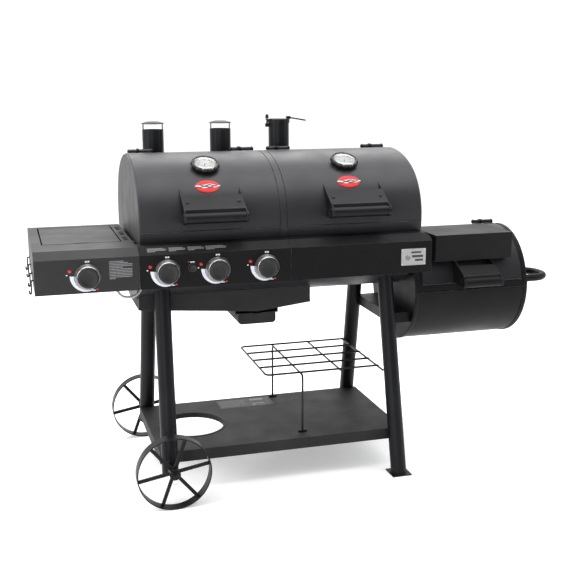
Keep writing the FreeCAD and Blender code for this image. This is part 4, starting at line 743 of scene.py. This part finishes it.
def make_notices():
    """Four notices on the sloping band and one on the side table's face."""
    band_up = Vector((0, BAND_DEPTH, BAND_DROP)).normalized()
    outward = Vector((0, -band_up.z, band_up.y))
    place = frame_at((0, FACE_Y + BAND_DEPTH / 2, TOP_Z - BAND_DROP / 2), outward, band_up)
    lines = []
    for left, right in ((-0.628, -0.567), (-0.560, -0.506), (-0.4995, -0.446), (-0.4416, -0.374)):
        widths = [share * (right - left) for share in (0.85, 1, 0.95, 0.4)]
        lines += text_block(left, 0.0095, widths, 0.0044, 0.0021)
    slabs("panel_notice_lines", lines, THIN_PRINT, place, MARK_GREY, ROOT)
    side = on_face(-0.7485, 0.8515)
    widths = (0.044, 0.058, 0.071, 0.071, 0.042, 0.071, 0.070, 0.071, 0.070, 0.071, 0.069, 0.018)
    lines = text_block(0, 0, widths, 0.0049, 0.0026)
    slabs("table_notice_lines", lines, THIN_PRINT, side, MARK_GREY, ROOT)


def make_badge():
    """Small riveted plate on the front shelf, with plain bars and a flame for its art."""
    place = on_face(0.269, 0.810)
    half_wide, half_high = 0.0445, 0.0283
    plate = bar(-half_wide, -half_high, half_wide, half_high)
    slabs("shelf_badge_plate", [plate], 0.0014, place, PLATE_SILVER, ROOT, rounding=0.0006)
    rivet_x, rivet_y = 0.0402, 0.024
    corners = [(x, y) for x in (-rivet_x, rivet_x) for y in (-rivet_y, rivet_y)]
    heads = [place @ Matrix.Translation((x, y, 0.0012)) for x, y in corners]
    lathe("shelf_badge_rivets", domed_head(0.0024, 0.0015), heads, ZINC, ROOT, "bezel_chrome", steps=20)
    lines = [bar(-0.009, 0.0125, 0.027, 0.0185), bar(-0.006, -0.002, 0.0345, 0.006),
             bar(0.005, -0.0145, 0.0345, -0.0075)]
    relief, seat = 0.0003, 0.0013
    slabs("shelf_badge_lines", lines, relief, place, STICKER, ROOT, lift=seat)
    shape = flame(-0.02, -0.001, 0.0175)
    slabs("shelf_badge_shape", [shape], relief, place, MARK_GREY, ROOT, lift=seat)


# ------------------------------------------------------------------ stand and small fittings

def make_wheel_trim():
    """Rivets, hub rings and pin ring of each wheel."""
    half_hub, pin_out = 0.025, 0.034
    ring = [(0.0172, -0.004), (0.0186, -0.004), (0.0188, -0.0012), (0.0178, 0.0003), (0.0172, -0.0002)]
    for label in ("front", "rear"):
        body = f"{label}_wheel"
        wheel = middle(body)
        facing = -1 if wheel.y < 0 else 1
        heads = []
        for k in range(6):
            across, up = polar(0.1155, 10 + 60 * k, (wheel.x, wheel.z))
            for side in (-1, 1):
                heads.append(frame_at((across, wheel.y + 0.0024 * side, up), (0, side, 0), UP))
        head = domed_head(0.0042, 0.0026)
        lathe(f"{label}_wheel_rivets", head, heads, STAND_COAT, body, "stand_paint", steps=20)
        hubs = [frame_at((wheel.x, wheel.y + half_hub * side, wheel.z), (0, side, 0), UP)
                for side in (facing, -facing)]
        lathe(f"{label}_wheel_hub_rings", ring, hubs, STAND_COAT, body, "stand_paint", closed=True)
        make_pin_ring(f"{label}_pin_ring", (wheel.x, wheel.y + pin_out * facing, wheel.z))


def make_pin_ring(name, pin):
    """Wire ring of the hitch pin that keeps the wheel on, hanging below the axle."""
    ring_radius = 0.0085
    wire = 0.0009
    below_axle = 0.012
    place = frame_at(Vector(pin) - (ring_radius + below_axle) * UP, (0.3, -1, 0), UP)
    mesh_data = bmesh.new()
    around, section = 40, 10
    rings = []
    for k in range(around):
        turn = TURN * k / around
        ring = []
        for i in range(section):
            swing = TURN * i / section
            reach = ring_radius + wire * math.cos(swing)
            point = Vector((reach * math.cos(turn), reach * math.sin(turn), wire * math.sin(swing)))
            ring.append(mesh_data.verts.new(place @ point))
        rings.append(ring)
    for k in range(around):
        here, following = rings[k], rings[(k + 1) % around]
        for i in range(section):
            j = (i + 1) % section
            mesh_data.faces.new([here[i], here[j], following[j], following[i]])
    finish_piece(name, mesh_data, ZINC, ROOT)


def make_shelf_notice():
    """Pale sheet with bars for its lines, printed on the bottom shelf."""
    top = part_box("bottom_shelf")[1].z
    place = frame_at((0, 0, top), UP, BACK)
    sheet = 0.0003
    outline = bar(-0.295, 0.130, -0.082, 0.222)
    slabs("shelf_notice", [outline], sheet, place, STICKER, ROOT)
    lines = text_block(-0.288, 0.205, (0.10, 0.10, 0.095, 0.10, 0.07), 0.014, 0.0028)
    lines += [bar(-0.165, 0.192, -0.112, 0.212), bar(-0.166, 0.152, -0.118, 0.160),
              bar(-0.166, 0.136, -0.156, 0.146), bar(-0.146, 0.136, -0.116, 0.140)]
    slabs("shelf_notice_lines", lines, THIN_PRINT, place, MARK_GREY, ROOT, lift=sheet)


def rounded_path(points, bend, steps=8):
    """Corner points joined by quadratic bends."""
    path = [Vector(points[0])]
    for before, corner, after in zip(points, points[1:], points[2:]):
        before, corner, after = Vector(before), Vector(corner), Vector(after)
        start = corner + (before - corner).normalized() * bend
        end = corner + (after - corner).normalized() * bend
        for k in range(steps + 1):
            t = k / steps
            path.append((1 - t) ** 2 * start + 2 * t * (1 - t) * corner + t ** 2 * end)
    path.append(Vector(points[-1]))
    return path


def tube_into(mesh_data, path, radius, section=12):
    """A round wire with closed ends along a path."""
    rings = []
    side = None
    for k, point in enumerate(path):
        ahead = (path[min(k + 1, len(path) - 1)] - path[max(k - 1, 0)]).normalized()
        if side is None:
            side = ahead.orthogonal().normalized()
        side = (side - ahead * side.dot(ahead)).normalized()
        over = ahead.cross(side)
        rings.append([mesh_data.verts.new(point + radius * (math.cos(TURN * i / section) * side
                                                            + math.sin(TURN * i / section) * over))
                      for i in range(section)])
    for here, following in zip(rings, rings[1:]):
        for i in range(section):
            j = (i + 1) % section
            mesh_data.faces.new([here[i], here[j], following[j], following[i]])
    mesh_data.faces.new(rings[0][::-1])
    mesh_data.faces.new(rings[-1])


def make_wire_rack():
    """Welded grid: outer wire, post wire bent down at both ends, beads."""
    low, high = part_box("wire_rack")
    front, back, left, right = -0.165, 0.213, -0.195, 0.230
    level, under, wire = 0.372, 0.3675, 0.0037
    post_x, post_front, foot, toe = -0.066, -0.185, low.z + 0.0034, 0.016
    brace_x, past = 0.084, 0.003
    cross_front, cross_back = low.y + 0.0032, high.y - 0.0032
    spaces = 4
    rows = [front + k * (back - front) / spaces for k in range(spaces + 1)]
    wires = [([(right, front, level), (left, front, level), (left, back, level), (right, back, level)], 0.02)]
    for y in rows[1:-1]:
        wires.append(([(left - 0.002, y, level), (0, y, level), (right, y, level)], 0.01))
    wires.append(([(brace_x, front - past, under), (brace_x, 0, under), (brace_x, back + past, under)], 0.01))
    for y in (post_front, back):
        wires.append(([(post_x - toe, y, foot), (post_x, y, foot), (post_x + toe, y, foot)], 0.004))
    post = [(post_x, y, z) for y, z in ((post_front, foot), (post_front, under), (back, under), (back, foot))]
    wires.append((post, 0.014))
    wires.append(([(right, cross_front, under), (right, 0, under), (right, cross_back, under)], 0.01))
    mesh_data = bmesh.new()
    for path, bend in wires:
        tube_into(mesh_data, rounded_path(path, bend), wire)
    bead = [(0, -0.0022), (0.0044, -0.0012), (0.0048, 0), (0.0044, 0.0012), (0, 0.0022)]
    for x in (post_x, brace_x, right):
        for y in rows:
            weld = frame_at((x, y, (level + under) / 2), UP, BACK)
            lathe_into(mesh_data, bead, weld, steps=12)
    rack = finish_piece("wire_rack_welded", mesh_data, WIRE_COAT, ROOT, sharp=50)
    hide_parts("wire_rack")


def plate_into(mesh_data, corners, thick):
    """A flat plate from corner points and a thickness vector."""
    near = [mesh_data.verts.new(corner) for corner in corners]
    far = [mesh_data.verts.new(Vector(corner) + Vector(thick)) for corner in corners]
    count = len(corners)
    mesh_data.faces.new(near)
    mesh_data.faces.new(far[::-1])
    for k in range(count):
        following = (k + 1) % count
        mesh_data.faces.new([near[k], far[k], far[following], near[following]])


def make_pan_skirt():
    """Thin plates that close the gap from the pan up to the barrel, so the space under the barrel shows dark.
    """
    sheet = 0.0008
    left, funnel, right = -0.629, -0.209, -0.018
    left_rim, funnel_rim, right_rim = 0.631, 0.600, 0.621
    # The barrel's underside in (y, z), from back to front.
    belly = [(0.115, 0.6763), (0.09, 0.6665), (0.06, 0.6579), (0.03, 0.652), (0, 0.6495),
             (-0.03, 0.652), (-0.06, 0.6579), (-0.09, 0.6665), (-0.118, 0.6776)]
    back, back_top = belly[0]
    front, front_top = belly[-1]
    mesh_data = bmesh.new()
    for y, top in ((front - sheet, front_top), (back, back_top)):
        corners = [(left, y, left_rim), (funnel, y, funnel_rim), (right, y, right_rim), (right, y, top),
                   (left, y, top)]
        plate_into(mesh_data, corners, (0, sheet, 0))
    for x, rim in ((left - 0.0005, left_rim), (right - 0.0005, right_rim)):
        corners = [(x, front, rim), (x, back, rim)] + [(x, y, z) for y, z in belly]
        plate_into(mesh_data, corners, (sheet, 0, 0))
    finish_piece("grease_pan_skirt", mesh_data, SHELF_COAT, ROOT)


def make_burner_lid_trim():
    """Painted shade: a matte black strip in the gap round the side burner's lid, and a black crescent in its
    finger notch.
    """
    low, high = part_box("side_burner_lid")
    inset, wide = 0.0035, 0.0028
    left, right, front, back = low.x + inset, high.x - inset, low.y, high.y
    place = frame_at((0, 0, TOP_Z), UP, BACK)
    groove = [bar(left, front, right, front + wide), bar(left, back - wide, right, back),
              bar(left, front + wide, left + wide, back - wide),
              bar(right - wide, front + wide, right, back - wide)]
    # Painted shade in the gap round the lid.
    slabs("burner_lid_groove", groove, THIN_PRINT, place, GROOVE_SHADE, "side_burner_lid")
    # Painted shade in the finger notch.
    arc_middle = ((left + right) / 2, front - 0.050)
    notch = [polar(0.06, 90 + k, arc_middle) for k in range(-32, 33, 2)]
    slabs("burner_lid_notch", [notch], 0.0003, place, GROOVE_SHADE, "side_burner_lid")


def make_tank_bead():
    """Rolled bead round the tank hole."""
    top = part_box("bottom_shelf")[1].z
    hole = frame_at((TANK_X, 0, top), UP, BACK)
    bead = [(0.1172, -0.0008), (0.1285, -0.0008), (0.1280, 0.0006), (0.1255, 0.0020), (0.1225, 0.0026),
            (0.1190, 0.0020), (0.1174, 0.0006)]
    lathe("tank_hole_bead", bead, [hole], SHELF_COAT, ROOT, "panel_paint", steps=144, closed=True)


def hexagon(radius):
    """Corners of a hexagon."""
    return [polar(radius, 60 * k) for k in range(6)]


def hex_bolts(name, places, radius, material, body):
    """Hex heads on washers."""
    mesh_data = bmesh.new()
    washer_top = 0.0012
    washer = [(0, 0), (1.5 * radius, 0), (1.5 * radius, 0.0008), (1.4 * radius, washer_top), (0, washer_top)]
    for place in places:
        lathe_into(mesh_data, washer, place, steps=28)
        slab_into(mesh_data, hexagon(radius), 0.0011, 0.0011 + 0.7 * radius, place, 0.0004)
    finish_piece(name, mesh_data, material, body)


def make_hinge_trim():
    """Nuts on the ends of the hinge pins and collars near their middles."""
    past_end, collar_x = 0.002, 0.028
    nuts = []
    for left, y, z in HINGES:
        nuts.append(frame_at((left - past_end, y, z), LEFT, UP))
        nuts.append(frame_at((left + HINGE_LENGTH + past_end, y, z), RIGHT, UP))
    hex_bolts("hinge_nuts", nuts, 0.006, STAND_COAT, ROOT)
    collars = [frame_at((left + collar_x, y, z), RIGHT, UP) for left, y, z in HINGES]
    collar = [(0.0069, -0.0055), (0.0092, -0.0055), (0.0096, -0.004), (0.0096, 0.004), (0.0092, 0.0055),
              (0.0069, 0.0055)]
    lathe("hinge_collars", collar, collars, STAND_COAT, ROOT, "stand_paint", closed=True)


def make_drawer_flanges():
    """Flanges where the drawer's U handle meets the firebox end."""
    end_x, half_apart, handle_z = 0.8045, 0.072, 0.640
    places = [frame_at((end_x, y, handle_z), RIGHT, UP) for y in (-half_apart, half_apart)]
    flange = [(0.0135, 0), (0.024, 0), (0.024, 0.0022), (0.021, 0.0034), (0.0135, 0.0036)]
    lathe("drawer_handle_flanges", flange, places, FIREBOX_SHADED_COAT, "ash_drawer", "lid_paint", closed=True)


def make_firebox_rims():
    """Raised rims round both ends of the firebox drum."""
    low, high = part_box("firebox_lower_shell")
    from_end = 0.004
    rim = [(0.2071, -0.006), (0.2090, -0.006), (0.2094, -0.004), (0.2094, 0.004), (0.2090, 0.006),
           (0.2071, 0.006)]
    places = [frame_at((x, 0, FIREBOX_Z), RIGHT, UP) for x in (low.x + from_end, high.x - from_end)]
    lathe("firebox_rims", rim, places, FIREBOX_SHADED_COAT, ROOT, "lid_paint", steps=180, closed=True)


# ------------------------------------------------------------------ stage, light and camera

def make_floor():
    """Wide pale floor with a little light of its own, just below the wheels."""
    white = (1, 1, 1, 1)
    look = Finish("studio_floor", Specular_IOR_Level=0.05, Emission_Color=white, Emission_Strength=0.33)
    look.set("Base Color", look.blend_colours(look.noise(0.8, 2), (0.80, 0.80, 0.80), (0.83, 0.83, 0.83)))
    look.set("Roughness", look.between(look.noise(3, 2), 0.8, 0.9))
    mesh_data = bmesh.new()
    bmesh.ops.create_grid(mesh_data, x_segments=8, y_segments=8, size=30)
    mesh = bpy.data.meshes.new("floor")
    mesh_data.to_mesh(mesh)
    mesh_data.free()
    mesh.materials.append(look.material)
    floor = bpy.data.objects.new("floor", mesh)
    floor.location.z = -0.0005
    bpy.context.scene.collection.objects.link(floor)


def make_world():
    """Bright overhead and behind, half as bright in front, as round a product on a light table."""
    world = bpy.data.worlds.new("studio")
    bpy.context.scene.world = world
    world.use_nodes = True
    tree = world.node_tree
    background = tree.nodes["Background"]
    background.inputs["Color"].default_value = (1, 1, 1, 1)
    where = tree.nodes.new("ShaderNodeTexCoord").outputs["Generated"]
    parts = tree.nodes.new("ShaderNodeSeparateXYZ")
    tree.links.new(where, parts.inputs[0])

    def ramped(source, start, end, low, high):
        node = tree.nodes.new("ShaderNodeMapRange")
        node.interpolation_type = "SMOOTHSTEP"
        for socket, value in zip(("From Min", "From Max", "To Min", "To Max"), (start, end, low, high)):
            node.inputs[socket].default_value = value
        tree.links.new(source, node.inputs["Value"])
        return node.outputs[0]

    behind = ramped(parts.outputs["Y"], -0.3, 0.5, 0.5, 1.05)
    above = ramped(parts.outputs["Z"], 0.45, 0.95, 0.0, 1.2)
    most = tree.nodes.new("ShaderNodeMath")
    most.operation = "MAXIMUM"
    tree.links.new(behind, most.inputs[0])
    tree.links.new(above, most.inputs[1])
    tree.links.new(most.outputs[0], background.inputs["Strength"])


def area_light(name, place, target, size, power, colour=(1, 1, 1)):
    """A rectangular lamp that faces its target."""
    light = bpy.data.lights.new(name, "AREA")
    light.shape = "RECTANGLE"
    light.size, light.size_y = size
    light.energy = power
    light.color = colour
    lamp = bpy.data.objects.new(name, light)
    bpy.context.scene.collection.objects.link(lamp)
    lamp.location = place
    lamp.rotation_euler = (Vector(target) - Vector(place)).to_track_quat("-Z", "Y").to_euler()


def make_lights():
    """Lamps overhead, at both sides, in front, and over the floor behind."""
    area_light("overhead", (0.0, -0.5, 3.4), (0, 0.1, 0.6), (4.5, 2.4), 110)
    area_light("left_side", (-3.4, -0.9, 1.9), (0, 0, 0.7), (1.6, 2.2), 60, (1.0, 0.99, 0.97))
    area_light("front_strip", (-1.9, -3.1, 1.1), (0.1, -0.2, 0.6), (0.35, 2.0), 26)
    area_light("right_side", (3.2, -1.6, 1.7), (0.3, 0, 0.6), (0.9, 2.2), 22, (0.94, 0.96, 1.0))
    area_light("floor_wash", (0.0, 3.2, 3.6), (0, 1.5, 0), (7, 2), 160)


def make_camera():
    """The camera as it was solved from the straight edges in the photo."""
    scene = bpy.context.scene
    data = bpy.data.cameras.new("camera")
    data.lens = 60.43
    data.sensor_width = 36
    data.clip_end = 200
    camera = bpy.data.objects.new("camera", data)
    scene.collection.objects.link(camera)
    pitch, yaw, roll = (math.radians(angle) for angle in (12.327, 16.375, 0.093))
    look = Vector((math.sin(yaw) * math.cos(pitch), math.cos(yaw) * math.cos(pitch), -math.sin(pitch)))
    camera.rotation_mode = "QUATERNION"
    camera.rotation_quaternion = look.to_track_quat("-Z", "Y") @ Quaternion((0, 0, 1), -roll)
    camera.location = (-1.0445, -3.2816, 1.409)
    scene.camera = camera
    scene.view_settings.view_transform = "Standard"


def main():
    """Dress the parts, add the small pieces, set the stage."""
    dress_nodes()
    for label in ("gas", "charcoal"):
        make_gauge(label)
        make_emblem(label)
    for body, handle in HANDLES.items():
        handle_trim(body, handle)
    for body, handle in HANDLES.items():
        make_lip(body, handle)
    make_knobs()
    make_marks()
    make_igniter()
    make_notices()
    make_badge()
    make_wheel_trim()
    make_shelf_notice()
    make_hinge_trim()
    make_drawer_flanges()
    make_wire_rack()
    make_pan_skirt()
    make_burner_lid_trim()
    make_tank_bead()
    make_firebox_rims()
    make_floor()
    make_world()
    make_lights()
    make_camera()


main()
